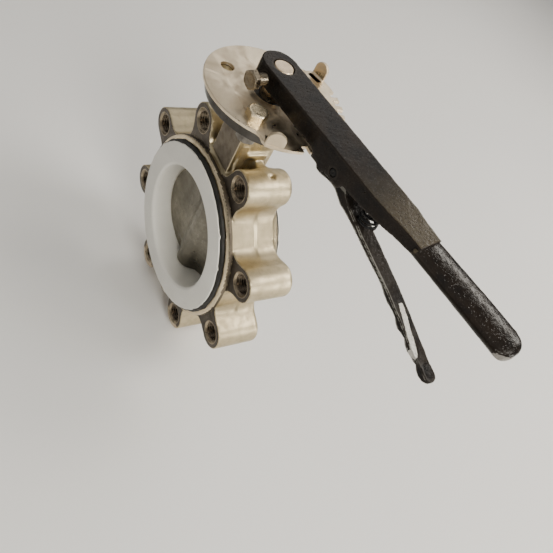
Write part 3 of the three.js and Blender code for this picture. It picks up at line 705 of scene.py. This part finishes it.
def body_f(x, y, z):
    r = np.hypot(x, z)
    wav = lumps(x, y, z, 30.0) * 0.07
    ang = np.degrees(np.arctan2(x, z))
    loc = np.radians((ang % 45.0) - 22.5)
    lu, lr = r * np.sin(loc), r * np.cos(loc)
    # cast ring and lugs, as one outline in the plane of the ring
    st = np.clip((y + 0.6) / 2.6, 0, 1)
    rr = 73.8 + 1.1 * np.clip((y + 18.0) / 17.4, 0, 1) + 1.1 * st * st * (3 - 2 * st) - 0.8 * np.clip((y - 2.0) / 15.0, 0, 1) - 1.0 * np.clip((y - 17.3) / 0.9, 0, 1)
    ring2 = r - rr - wav
    lug2 = np.minimum(np.hypot(lu, lr - 90.0) - 13.8, np.maximum(np.abs(lu) - 13.8, np.abs(lr - 75.0) - 15.0)) - wav * 0.8
    out2 = smin(ring2, lug2, 11.0)
    cast = smax(smax(out2, -18.3 - y, 1.2), y - 20.3 - wav * 0.3, 4.4)
    # neck
    ax = np.abs(x)
    neck = smax(ax - 13.4 - wav * 0.5, np.abs(y) - 15.5 - wav * 0.5, 2.2)
    neck = np.maximum(neck, np.maximum(62 - z, z - 131))
    pad = smax(smax(ax - 13.35, np.abs(y + 14.5) - 2.5, 0.9), np.maximum(76.8 - z, z - 131), 0.9)
    strip = smax((ax - 13.5 - 0.09 * np.clip(104 - z, 0, 30) - wav * 0.3), np.abs(y + 10.1) - 3.6, 1.6)
    strip = smax(strip, np.maximum(64 - z, z - 104), 1.5)
    bar = smax(smax(np.abs(y - 2.2) - 8.8, np.abs(z - 95.0) - 2.1, 2.4), ax - 15.5, 1.8)
    gus = spoly(ax, z, [(8, 92), (15.5, 91), (23, 90.0), (34, 94.5), (34, 80), (8, 70)])
    gus = smax(gus - wav, np.abs(y - 5.0) - 4.2, 2.2)
    neck = smin(neck, strip, 0.8)
    neck = smin(neck, smin(gus, bar, 3.5), 3.0)
    cast = smin(cast, neck, 5.0)
    cast = smin(cast, pad, 0.7)
    # top flange, its rim turned
    fl = smax(scyl(np.hypot(x, y), z, 44.0, 129.7, 138.2, 0.5), (np.hypot(x, y) - 43.2) * 0.7 + (z - 138.1) * 0.7, 0.3)
    cast = smin(cast, fl, 4.0)
    # bottom boss
    boss = smax(np.hypot(x, y) - 17.5 - wav, np.maximum(-88 - z, z + 62), 1.6)
    cast = smin(cast, boss, 5.0)
    # machined faces for the seat
    face = scyl(r, y, 74.6, -22.6, 22.6, 0.3)
    face = smax(face, (np.abs(y) + 0.75 * (r - 72.2) - 22.6) * 0.8, 1.4)
    cast = smin(cast, face, 0.6)
    # a round ejector mark on the lug beside the neck
    dent = np.sqrt((x - 35.9) ** 2 + (y - 3.5) ** 2 + (z - 98.6) ** 2) - 3.0
    cast = smax(cast, -dent, 0.9)
    # bores
    cut = 58.0 - r
    cast = smax(cast, cut, 0.8)
    rho = np.hypot(x, y)
    up = np.where(z > 128.2, 14.0, 10.3) - rho
    cast = np.maximum(cast, np.where(z > 40, up, -99))
    cast = np.maximum(cast, np.where(z < -40, 12.3 - rho, -99))
    h = np.hypot(lu, lr - 90.0)
    hole = 9.6 - h
    cast = np.maximum(cast, np.where(h < 14, hole, -99))
    free = x * y > 0
    hr = np.where(free, 34.0, 35.0) * math.sqrt(0.5)
    q = np.hypot(np.abs(x) - hr, np.abs(y) - hr)
    cast = np.maximum(cast, np.where(z > 120, np.where(free, 4.8, 4.5) + np.clip(z - 137.6, 0, 1) - q, -99))
    return cast


def body_zones(c, n):
    r = np.hypot(c[:, 0], c[:, 2])
    rho = np.hypot(c[:, 0], c[:, 1])
    flat = np.abs(n[:, 1]) > 0.93
    z = np.zeros(len(c), int)
    # zone 1: the lugs' flat end faces, painted shade
    z[(c[:, 1] > 19.6) & (c[:, 1] < 20.7) & flat & (r > 72) & (c[:, 2] < 112)] = 1
    z[(c[:, 1] < -17.6) & (c[:, 1] > -18.8) & (r > 74.5) & (c[:, 2] < 112) & flat] = 1
    lug = np.degrees(np.arctan2(c[:, 0], c[:, 2])) % 45.0 - 22.5
    h = np.hypot(r * np.sin(np.radians(lug)), r * np.cos(np.radians(lug)) - 90)
    # zone 4: the lug hole bores, painted shade
    z[(h < 9.8) & (r > 75) & (c[:, 1] < 21.0) & (c[:, 2] < 112) & ~flat] = 4
    # zone 3: the seat face rings, painted light
    z[(np.abs(c[:, 1]) > 20.6) & (r < 74.9) & (c[:, 2] < 80)] = 3
    z[(r < 58.6)] = 2
    # zone 4 also: the outer step of the front face and the neck pad's front face, painted shade
    z[(r < 74.9) & (r > 73.9) & (c[:, 1] < -18.5) & (c[:, 1] > -21.0)] = 4
    z[(c[:, 1] < -16.6) & (c[:, 2] > 77.2) & (np.abs(c[:, 0]) < 12.9) & (n[:, 1] < -0.9) & (rho < 22)] = 4
    # zone 5: the top flange's rim and top face, painted shade
    z[(c[:, 2] > 137.9) | ((rho > 43.6) & (c[:, 2] > 120))] = 5
    z[c[:, 2] < -87.8] = 2
    return z


BODY_H = 1.2
me = implicit("valve_casting", body_f, (-107.6, -45.7, -107.6), (107.6, 45.7, 140.7), BODY_H, body_zones)
body = finish_mesh("valve_casting", me, "valve_body", [M["cast"], M["lug_face"], M["seat_land"], M["face_ring"], M["dark_face"], M["rim"]], ["body"], sharp=38)

# the eight tapped holes: a turned mouth each end and the thread between
parts, mouths = [], []
for i, phi in enumerate(LUGS):
    a = math.radians(phi)
    at = (90 * math.sin(a), 0, 90 * math.cos(a))
    parts.append(thread("t", 0, 9.4, 8.1, 6.95, 2.0, -16.9, 18.9, False, seg=40, axis="Y", at=at))
    prof = [(8.05, -16.75), (9.25, -18.0), (9.45, -18.33), (9.95, -18.33), (9.95, -16.0), (8.05, -16.0)]
    mouths.append(lathe("m", fillet(prof, [0.1, 0.3, 0.12, 0.12, 0, 0], 2), 56, "Y", at))
    mouths.append(lathe("m", [(r, -h + 2.0) for r, h in reversed(fillet(prof, [0.1, 0.3, 0.12, 0.12, 0, 0], 2))], 56, "Y", at))
finish_mesh("lug_threads", joined("lug_threads", parts), "valve_body", M["thread"], [], sharp=50)
finish_mesh("lug_hole_mouths", joined("lug_hole_mouths", mouths), "valve_body", M["chamfer"], [], sharp=50)

# ------------------------------------------------------------ liner and ring
lin = [(50.0, -23.0), (50.4, -26.0), (52.2, -27.1), (69.0, -27.1), (69.1, -26.0), (54.0, -26.0), (54.0, 26.0), (69.1, 26.0), (69.0, 27.1), (52.2, 27.1), (50.4, 26.0), (50.0, 23.0)]
lin = fillet(lin, [2.5, 1.2, 1.4, 0.35, 0.25, 0.2, 0.2, 0.25, 0.35, 1.4, 1.2, 2.5], 4)
RNG = np.random.default_rng(7)
TEAR = np.convolve(RNG.normal(0, 1, 360), np.ones(3) / 3, "same")
FLAKES = [(45.0, 1.5, 2.2), (24.0, 1.2, 1.6), (96.0, 0.7, 1.8), (151.0, 0.9, 2.0), (212.0, 0.8, 1.5), (287.0, 1.0, 2.2), (331.0, 0.7, 1.6)]


def tear(a):
    """How far the skin's edge stands out at an angle: fine tearing and a few flakes."""
    d = math.degrees(a) % 360.0
    i = int(d) % 360
    t = 0.3 * (TEAR[i] * (1 - d % 1) + TEAR[(i + 1) % 360] * (d % 1)) - 0.35 + 0.2 * math.sin(5 * a + 0.6)
    for c, size, wide in FLAKES:
        t += size * max(0.0, 1 - abs((d - c + 180) % 360 - 180) / wide)
    return max(-0.9, min(1.8, t))


def soft_edge(a, r, h):
    e = (r - 60.0) / 9.1
    if e > 0.5:
        r += tear(a if h < 0 else a + 2.0) * min(1.0, (e - 0.5) * 2.0)
        h += math.copysign(0.05, h) * math.sin(9 * a + 1.0)
    return r, h


me = lathe("seat_liner_skin", lin, 288, "Y", wobble=soft_edge)
holes = [lathe("c", [(0.001, a), (8.3, a), (8.3, b), (0.001, b)], 40) for a, b in ((40, 60), (-60, -40))]
me = boolean_cut(me, holes)
liner = finish_mesh("seat_liner_skin", me, "valve_body", M["ptfe"], ["seat_liner"], sharp=40)


def ragged(a, r, h):
    if r > 65:
        r += 0.3 * math.sin(7 * a + 0.4) * math.sin(3 * a) + 0.22 * math.sin(23 * a + 1.3) + 0.18 * math.sin(41 * a + 0.2) + 0.12 * math.sin(67 * a)
        h += math.copysign(0.05, h) * math.sin(19 * a + 0.5)
    return r, h


bk = fillet([(54.3, -25.75), (69.3, -25.75), (70.6, -24.9), (71.0, -22.85), (57.7, -22.85), (57.7, 22.85), (71.0, 22.85), (70.6, 24.9), (69.3, 25.75), (54.3, 25.75)], 0.3, 2)
me = lathe("backup_rubber", bk, 216, "Y", wobble=ragged)
holes = [lathe("c", [(0.001, a), (9, a), (9, b), (0.001, b)], 40) for a, b in ((40, 65), (-65, -40))]
me = boolean_cut(me, holes)
finish_mesh("backup_rubber", me, "valve_body", M["rubber"], ["seat_backup_ring"], sharp=40)

# ------------------------------------------------------------- notch plate
A0, A1 = -31.5, 117.5
P_R, S_R = 48.0, 56.0


def pol(r, a):
    return (r * math.cos(math.radians(a)), r * math.sin(math.radians(a)))


outline = []
for k in range(10):  # each notch, with its teeth beside it
    a = 10 * k
    w = math.degrees(math.asin(2.4 / S_R))
    w0 = math.degrees(math.asin(2.4 / 50.8))
    if k == 0:
        outline += [pol(S_R, A0 + 1.2 + t * (a - w - A0 - 1.2) / 6) for t in range(7)]
    outline += [pol(50.8, a - w0), pol(50.8, a + w0)]
    if k < 9:
        outline += [pol(S_R, a + w), pol(S_R, a + 5), pol(S_R, a + 10 - w)]
    else:
        outline += [pol(S_R, a + w + t * (A1 - 1.2 - a - w) / 6) for t in range(7)]
outline += [pol(S_R - 2.4, A1 + 1.4), pol(P_R + 1.6, A1 + 3.4)]
outline += [pol(P_R, A1 + 7 + t * (360 + A0 - 7 - A1 - 7) / 72) for t in range(73)]
outline += [pol(P_R + 1.6, A0 - 3.4), pol(S_R - 2.4, A0 - 1.4)]
outline = fillet(outline, 0.45, 2)


def sheet_metal(name, outer, holes, z0, z1, bev=0.35):
    cu = bpy.data.curves.new(name, "CURVE")
    cu.dimensions, cu.fill_mode = "2D", "BOTH"
    cu.extrude, cu.bevel_depth, cu.bevel_resolution, cu.offset = (z1 - z0) / 2 - bev, bev, 2, -bev
    for pts in [outer] + holes:
        sp = cu.splines.new("POLY")
        sp.points.add(len(pts) - 1)
        sp.points.foreach_set("co", [q for p in pts for q in (p[0], p[1], 0.0, 1.0)])
        sp.use_cyclic_u = True
    o = bpy.data.objects.new(name, cu)
    COLL.objects.link(o)
    dg = bpy.context.evaluated_depsgraph_get()
    me = bpy.data.meshes.new_from_object(o.evaluated_get(dg))
    bpy.data.objects.remove(o)
    me.transform(Matrix.Translation((0, 0, (z0 + z1) / 2)))
    bm = bmesh.new()
    bm.from_mesh(me)
    bmesh.ops.remove_doubles(bm, verts=bm.verts, dist=1e-4)
    bmesh.ops.recalc_face_normals(bm, faces=bm.faces)
    bm.to_mesh(me)
    bm.free()
    return me


def circle(r, x=0.0, y=0.0, n=64):
    return [(x + r * math.cos(2 * math.pi * i / n), y + r * math.sin(2 * math.pi * i / n)) for i in range(n)]


plate = sheet_metal("plate", outline, [circle(14.0)] + [circle(r_, *pol(R_, a), n=40) for a, R_, r_ in ((45, 34, 4.8), (135, 35, 4.5), (225, 34, 4.8), (315, 35, 4.5))], 138.5, 141.0)


def stop_tab(a, w, top, lobe):
    """A tab of the sheet bent straight up: swept across its width, its top rounded into a lobe."""
    t = 2.5
    rows = []
    ri = 1.6  # inside radius of the bend
    xb = S_R - 2.55
    path = [(xb - 6.0, 138.6, 0.0)]
    nb = 7
    for i in range(nb + 1):
        b = math.pi / 2 * i / nb
        path.append((xb - ri + ri * math.sin(b) - 0.0, 0, b))
    rows = []
    # inner and outer skin of the bend
    inner = [(xb - 6.0, 141.0)] + [(xb - ri + ri * math.sin(math.pi / 2 * i / nb), 141.0 + ri - ri * math.cos(math.pi / 2 * i / nb)) for i in range(nb + 1)]
    outer = [(xb - 6.0, 138.5)] + [(xb - ri + (ri + t) * math.sin(math.pi / 2 * i / nb), 141.0 + ri - (ri + t) * math.cos(math.pi / 2 * i / nb)) for i in range(nb + 1)]
    hs = [143.2, 144.6, 146.0, 147.2, 148.4] + [top - lobe * (1 - math.sin(math.radians(q))) for q in (15, 30, 45, 58, 70, 80, 87)]
    hs = [q for q in hs if q > 142.8]
    hs = sorted(set(round(q, 3) for q in hs))
    inner += [(xb, q) for q in hs]
    outer += [(xb + t, q) for q in hs]

    def half(q):
        base = w
        if q > top - lobe:
            return max(0.6, base * math.sqrt(max(0.0, 1 - ((q - (top - lobe)) / lobe) ** 2)))
        return base

    v, f = [], []
    across = 12
    for (xi, zi), (xo, zo) in zip(inner, outer):
        wi = half(max(zi, zo)) if zi > 142.6 else w
        ring = []
        e = 0.4
        for k in range(across + 1):
            ring.append((xi, -wi + e + (2 * wi - 2 * e) * k / across, zi))
        ring.append(((xi * 3 + xo) / 4, wi, (zi * 3 + zo) / 4))
        ring.append(((xi + 3 * xo) / 4, wi, (zi + 3 * zo) / 4))
        for k in range(across + 1):
            ring.append((xo, wi - e - (2 * wi - 2 * e) * k / across, zo))
        ring.append(((xi + 3 * xo) / 4, -wi, (zi + 3 * zo) / 4))
        ring.append(((xi * 3 + xo) / 4, -wi, (zi * 3 + zo) / 4))
        v += ring
    n = 2 * (across + 1) + 4
    for j in range(len(inner) - 1):
        for k in range(n):
            l = (k + 1) % n
            f.append((j * n + k, j * n + l, (j + 1) * n + l, (j + 1) * n + k))
    f.append(tuple(range(n)))
    last = (len(inner) - 1) * n
    f.append(tuple(last + n - 1 - k for k in range(n)))
    me = new_mesh("tab", v, f)
    me.transform(Matrix.Rotation(math.radians(a), 4, "Z"))
    return me


tabs = [stop_tab(-24.6, 6.4, 150.8, 5.5), stop_tab(111.2, 5.6, 152.4, 5.2)]
finish_mesh("notch_plate_sheet", joined("notch_plate_sheet", [plate] + tabs), "valve_body", M["plate"], ["notch_plate"], sharp=40)

# -------------------------------------------------------------- fasteners
for tag, a in (("front", 315), ("rear", 135)):
    x, y = pol(35, a)
    turn = math.radians(a + (12 if tag == "front" else 0))
    head = hexagon("h", 13.0, 141.05, 146.7, "Z", (x, y, 0), turn, True, False, dish=0.25)
    shank = thread("s", 0.4, 0, 3.95, 3.35, 1.25, 122.0, 138.6, True, 24, "Z", (x, y, 0), lead=0.8)
    finish_mesh("plate_bolt_%s_m8" % tag, joined("b", [head, shank]), "valve_body", M["bolt"], ["plate_bolt_" + tag], sharp=30)
    nut = hexagon("n", 13.0, 123.3, 127.75, "Z", (x, y, 0), turn + 0.2, True, True, bore=4.0)
    finish_mesh("plate_nut_%s_m8" % tag, nut, "valve_body", M["dark_steel"], ["plate_nut_" + tag], sharp=30)
    ws = lathe("w", fillet([(4.3, 127.95), (8, 127.95), (8, 129.5), (4.3, 129.5)], 0.25, 3), 56, "Z", (x, y, 0))
    finish_mesh("plate_washer_%s_m8" % tag, ws, "valve_body", M["dark_steel"], ["plate_washer_" + tag], sharp=35)

# ----------------------------------------------------------- disc and stems
def disc_f(x, y, z):
    r = np.hypot(x, z)
    ball = np.sqrt(x * x + y * y + z * z) - 49.6
    wav = lumps(x, y, z, 22.0, 0.6) * 0.12
    lens = np.abs(y) - (4.7 - 1.5 * np.clip((r - 16) / 30.0, 0, 1)) + wav
    hub = np.hypot(x, y) - 12.0 - wav
    fair = smax(np.abs(y) - (12.0 - 0.42 * np.abs(x)), np.abs(z) - 36.0, 4.0)
    d = smin(lens, smin(hub, fair, 2.5), 3.5)
    d = smax(d, ball, 0.7)
    d = smax(d, np.abs(z) - 48.4, 0.5)
    rho = np.hypot(x, y)
    d = np.maximum(d, np.where(np.abs(z) > 17.5, 8.0 - rho, -99))
    return d


me = implicit("disc_casting", disc_f, (-51.3, -14.5, -50.3), (51.3, 14.5, 50.3), 0.95, lambda c, n: ((np.sqrt((c ** 2).sum(1)) > 49.3) | (np.abs(c[:, 2]) > 48.2)).astype(int))
finish_mesh("disc_casting", me, "stem_and_lever", [M["disc"], M["turned"]], ["disc"], sharp=38, turn=REST)

stem = fillet([(0.001, 10), (6.9, 10), (7.7, 10.8), (7.7, 46.2), (8.0, 46.6), (8.0, 146.6), (7.1, 147.2), (7.1, 161.0), (6.4, 161.7), (3.0, 161.64), (0.001, 161.62)], [0, 0.3, 0.3, 0.2, 0.2, 0.3, 0.3, 0.25, 0.25, 0, 0], 3)
me = lathe("upper_stem_bar", stem, 72)
cutx = [sheet_metal("c1", [(-20, -20), (20, -20), (20, -6.2), (-20, -6.2)], [], 148.6, 157.2, 0.05)]
me = boolean_cut(me, cutx)
finish_mesh("upper_stem_bar", me, "stem_and_lever", M["stem"], ["upper_stem"], sharp=35, turn=REST)
low = fillet([(0.001, -81.5), (7.2, -81.5), (8.0, -80.7), (8.0, -46.6), (7.6, -46), (7.6, -18.8), (6.8, -18), (0.001, -18)], 0.25, 2)
finish_mesh("lower_stem_bar", lathe("lower_stem_bar", low, 64), "stem_and_lever", M["turned"], ["lower_stem"], sharp=35, turn=REST)

# -------------------------------------------------------------------- lever
PLAN = fillet([(-16.6, -13.2), (112, -13.1), (122, -12.4), (134, -10.6), (152.3, -9.8), (152.3, 10.2), (136, 11.6), (128, 13.1), (-16.6, 13.2)], [13.1, 6, 4, 8, 0, 0, 6, 6, 13.1], 6)
SIDE = fillet([(-20, 148.2), (-20, 161.7), (152.5, 161.7), (152.5, 154.0), (120, 150.2), (96, 148.2), (90.5, 148.2), (88, 143.5), (74, 143.5), (71.5, 140.6), (68.5, 140.6), (66, 143.5), (62, 143.5), (57.5, 148.2)], [0, 0, 0, 1, 10, 5, 2, 2, 1, 1.2, 1.2, 1, 2, 2], 3)
CHAN = fillet([(17.5, -9.3), (104, -9.3), (113, -8.7), (118.5, -6.6), (121.6, -3), (121.6, 3), (118.5, 6.6), (113, 8.7), (104, 9.3), (17.5, 9.3)], [4, 3, 2, 2, 1.5, 1.5, 2, 2, 3, 4], 4)


def lever_f(s, w, z):
    wav = lumps(s, w, z, 15.0, 1.3) * 0.055 + lumps(s, w, z, 5.2, 2.2) * 0.03
    plan = spoly(s, w, PLAN)
    side = spoly(s, z, SIDE)
    d = smax(plan - wav, side - wav, 1.1)
    # the grip: a crowned top, short sides and a belly that tapers in
    aw = np.abs(w)
    u = np.clip(aw / 13.4, 0, 1.1)
    end = np.clip((s - 221.0) / 6.0, 0, 1.2) ** 2
    top = z - (160.1 + 1.2 * np.clip((s - 150.0) / 45.0, 0, 1) - 1.7 * u ** 2.2 - 1.5 * end)
    belly = smax(152.95 + 1.5 * end - z, (158.0 - z) * 0.77 + (aw - 13.4) * 0.64 - 0.95, 1.5)
    corner = np.hypot(np.maximum(s - 214.8, 0), np.maximum(aw - 1.4, 0)) - 12.0
    flat = np.where(s > 214.8, corner, aw - 13.4)
    grip = smax(smax(flat, smax(top, belly, 1.0), 2.2), 148.8 - s, 1.6) - wav
    d = smin(d, grip, 0.6)
    # open channel below
    chan = smax(spoly(s, w, CHAN), z - 157.4, 1.5)
    d = smax(d, -chan, 0.8)
    rho = np.hypot(s, w)
    d = smax(d, 7.55 - rho, 0.7)
    screw = np.where(w < -3, 4.3 - np.hypot(s, z - 152.9), -99)
    d = smax(d, screw, 0.5)
    pin = 3.0 - np.hypot(s - 80.0, z - 149.0)
    return np.maximum(d, pin)


me = implicit("lever_casting", lever_f, (-19.1, -14.6, 138.6), (228.7, 14.9, 163.7), 0.75)
finish_mesh("lever_casting", me, "stem_and_lever", M["lever"], ["lever_handle"], sharp=42, turn=REST)

# clamp screw, pivot pin
head = hexagon("h", 12.0, -25.25, -21.5, "Y", (0, 0, 152.9), 0.18, True, False, dish=0.45, top_sign=-1)
shank = thread("s", 0.4, 0, 3.95, 3.35, 1.25, -21.7, -6.7, True, 24, "Y", (0, 0, 152.9))
finish_mesh("clamp_screw_m8", joined("b", [head, shank]), "stem_and_lever", M["screw"], ["clamp_screw"], sharp=30, turn=REST)
pin = fillet([(0.001, -12.6), (1.2, -13.0), (2.4, -12.9), (2.75, -12.3), (2.75, 12.3), (2.4, 12.9), (1.2, 13.0), (0.001, 12.6)], 0.25, 2)
finish_mesh("pivot_pin_peened", lathe("pin", pin, 40, "Y", (80, 0, 149)), "stem_and_lever", M["pin"], ["pivot_pin"], sharp=35, turn=REST)

# ------------------------------------------------------------------ trigger
SIDE_T = [
    (56.8, 139.2), (62.4, 139.0), (67, 137.6), (68.4, 136.2), (72.8, 137.2), (79.3, 138.4), (84, 138.2),
    (93.3, 133.7), (109.8, 129.1), (128.4, 123.7), (138, 121.2), (148, 118.6), (153, 115.6), (157.5, 113.9), (163, 112.8), (168.1, 111.1), (171.5, 108.4),
    (174.6, 106.8), (178, 106.9), (181.5, 106.4), (185, 103.4), (188.7, 101.6), (193.4, 101.2), (197.9, 100.2), (200.8, 97.4), (204, 95.8), (208, 96),
    (211.4, 97.2), (212.6, 99), (211.4, 99.9), (208, 100.6),
    (200, 102.8), (190, 106.4), (183.2, 108.9), (177.4, 111.1), (171.8, 113.4), (163.3, 116.3), (153.4, 119.9), (142.2, 123.3), (134.1, 125.5), (125.5, 128.2),
    (118.3, 130.1), (110.1, 133.2), (100.6, 136.8), (94.4, 141.2),
    (90, 147), (88.6, 151), (85, 154.2), (80, 155.2), (74, 154.4), (68, 150.4), (62, 147.6), (56.8, 146.8),
]
PLAN_T = fillet([
    (56, -8), (94, -7.8), (102, -6.9), (114, -6.4), (150, -6.3), (194, -5.9), (202, -5.0), (212.5, -6.0),
    (212.5, 4.5), (202, 4.1), (194, 4.7), (150, 5.2), (120, 6.2), (102, 6.9), (94, 7.8), (56, 8),
], [0, 4, 4, 4, 8, 5, 5, 4.9, 4.9, 5, 5, 8, 8, 4, 4, 0], 5)


def trigger_f(s, w, z):
    wav = lumps(s, w, z, 12.0, 2.7) * 0.08 + lumps(s, w, z, 4.6, 0.9) * 0.035
    d = smax(spoly(s, z, SIDE_T) - wav, spoly(s, w, PLAN_T) - wav, 0.9)
    slot = smax(np.abs(w) - 4.6, np.maximum(np.maximum(69 - s, s - 97), 143 - z), 1.0)
    d = smax(d, -slot, 0.6)
    return np.maximum(d, 3.0 - np.hypot(s - 80.0, z - 149.0))


me = implicit("trigger_casting", trigger_f, (55.4, -9.3, 94.1), (214.3, 9.3, 156.7), 0.72)
finish_mesh("trigger_casting", me, "squeeze_trigger", M["trigger"], ["trigger"], sharp=45, turn=REST)

# ------------------------------------------------------------------- spring
P0, P1 = Vector((112.6, 0, 135.2)), Vector((111.4, 0, 156.0))
axis = P1 - P0
U = Vector((axis.z, 0, -axis.x)).normalized()
TURNS, STEPS = 7.0, 7 * 24
pts = []
for i in range(STEPS + 1):
    t = i / STEPS
    a = TURNS * 2 * math.pi * t
    # closed end coils
    if t * TURNS < 1:
        u = 0.08 * (t * TURNS)
    elif t * TURNS > TURNS - 1:
        u = 1 - 0.08 * (TURNS - t * TURNS)
    else:
        u = 0.08 + 0.84 * (t * TURNS - 1) / (TURNS - 2)
    pts.append(P0 + axis * u + U * (6.2 * math.cos(a)) + Vector((0, 1, 0)) * (6.2 * math.sin(a)))
cu = bpy.data.curves.new("spring", "CURVE")
cu.dimensions, cu.bevel_depth, cu.bevel_resolution, cu.use_fill_caps = "3D", 0.82, 4, True
sp = cu.splines.new("POLY")
sp.points.add(len(pts) - 1)
sp.points.foreach_set("co", [q for p in pts for q in (*p, 1.0)])
tmp = bpy.data.objects.new("spring_tmp", cu)
COLL.objects.link(tmp)
me = bpy.data.meshes.new_from_object(tmp.evaluated_get(bpy.context.evaluated_depsgraph_get()))
bpy.data.objects.remove(tmp)
spring = finish_mesh("trigger_coil_spring", me, "stem_and_lever", M["spring"], ["trigger_spring"], sharp=60, turn=REST)
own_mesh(spring)

# --------------------------------------------------- CAD nodes that stay
KEEP = {
    "neck_bush_lower": "bronze", "neck_bush_upper": "bronze", "bottom_bush": "bronze",
    "stem_seal_lower": "rubber", "stem_seal_upper": "rubber", "dust_seal": "rubber",
    "thrust_washer": "turned", "stem_retaining_ring": "dark_steel", "bottom_plug": "turned", "plug_gasket": "ptfe",
}
for node, key in KEEP.items():
    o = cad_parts[node]
    o.data.materials.clear()
    o.data.materials.append(M[key])

# -------------------------------------------------------------------- stage
def floor_material():
    k = Nodes("studio_floor", metallic=0.0)
    big = k.noise(1.4, 3, 0.5)
    fine = k.noise(900, 2, 0.5)
    c = k.mix(k.ramp(big, 0.3, 0.7, 0, 1), (0.80, 0.79, 0.775), (0.84, 0.835, 0.82))
    return k.out(c, k.ramp(big, 0.3, 0.7, 0.7, 0.8), k.bump(fine, 0.00005, 0.2))


fl = bpy.data.meshes.new("floor")
FZ = -0.1052
fl.from_pydata([(-4, -4, FZ), (4, -4, FZ), (4, 4, FZ), (-4, 4, FZ)], [], [(0, 1, 2, 3)])
floor = bpy.data.objects.new("floor", fl)
COLL.objects.link(floor)
fl.materials.append(floor_material())

world = bpy.data.worlds.new("studio")
bpy.context.scene.world = world
world.use_nodes = True
wt = world.node_tree
bg = wt.nodes["Background"]
bg.inputs["Color"].default_value = (1.0, 0.985, 0.95, 1)
bg.inputs["Strength"].default_value = 0.16


def area(name, at, to, size, power, colour=(1, 1, 1), size_y=None):
    l = bpy.data.lights.new(name, "AREA")
    l.energy, l.size, l.color = power, size, colour
    if size_y:
        l.shape, l.size_y = "RECTANGLE", size_y
    o = bpy.data.objects.new(name, l)
    COLL.objects.link(o)
    o.location = at
    o.rotation_mode = "QUATERNION"
    o.rotation_quaternion = (Vector(to) - Vector(at)).to_track_quat("-Z", "Y")
    return o


area("key", (1.15, -0.25, 0.95), (0, 0, 0.02), 0.5, 15, (1.0, 0.96, 0.87))
area("right", (1.05, 0.8, 0.30), (0, 0, 0), 0.5, 7, (1.0, 0.96, 0.88))
area("sky", (-1.1, 0.95, 0.9), (0, 0, 0.1), 1.0, 4.0, (1.0, 0.96, 0.90))
area("back", (-0.15, 1.25, 0.74), (0.12, 0.02, 0.15), 0.7, 6.0, (1.0, 0.95, 0.86), 0.2)
area("over", (0.6, 0.8, 1.2), (0, 0, 0.05), 0.6, 11, (1.0, 0.95, 0.87))
area("fill", (-0.4, -1.2, 0.8), (0, 0, 0), 0.9, 0.9, (1.0, 0.98, 0.94))
area("dome", (0.3, 0.3, 2.8), (0.3, 0.3, 0), 3.4, 16, (1.0, 0.98, 0.95))

# ------------------------------------------------------------------- camera
cam = bpy.data.cameras.new("camera")
co = bpy.data.objects.new("camera", cam)
COLL.objects.link(co)
cam.sensor_width = 36.0
cam.lens = 592.4187 * 36.0 / 553.0
cam.clip_start, cam.clip_end = 0.02, 20
R = Matrix(((0.409853, 0.821089, 0.397282), (0.812558, -0.130757, -0.568025), (-0.414452, 0.555622, -0.720774)))
W = R.transposed() @ Matrix(((1, 0, 0), (0, -1, 0), (0, 0, -1)))
co.matrix_world = Matrix.Translation((0.26758335, -0.23540945, 0.35914724)) @ W.to_4x4()
bpy.context.scene.camera = co
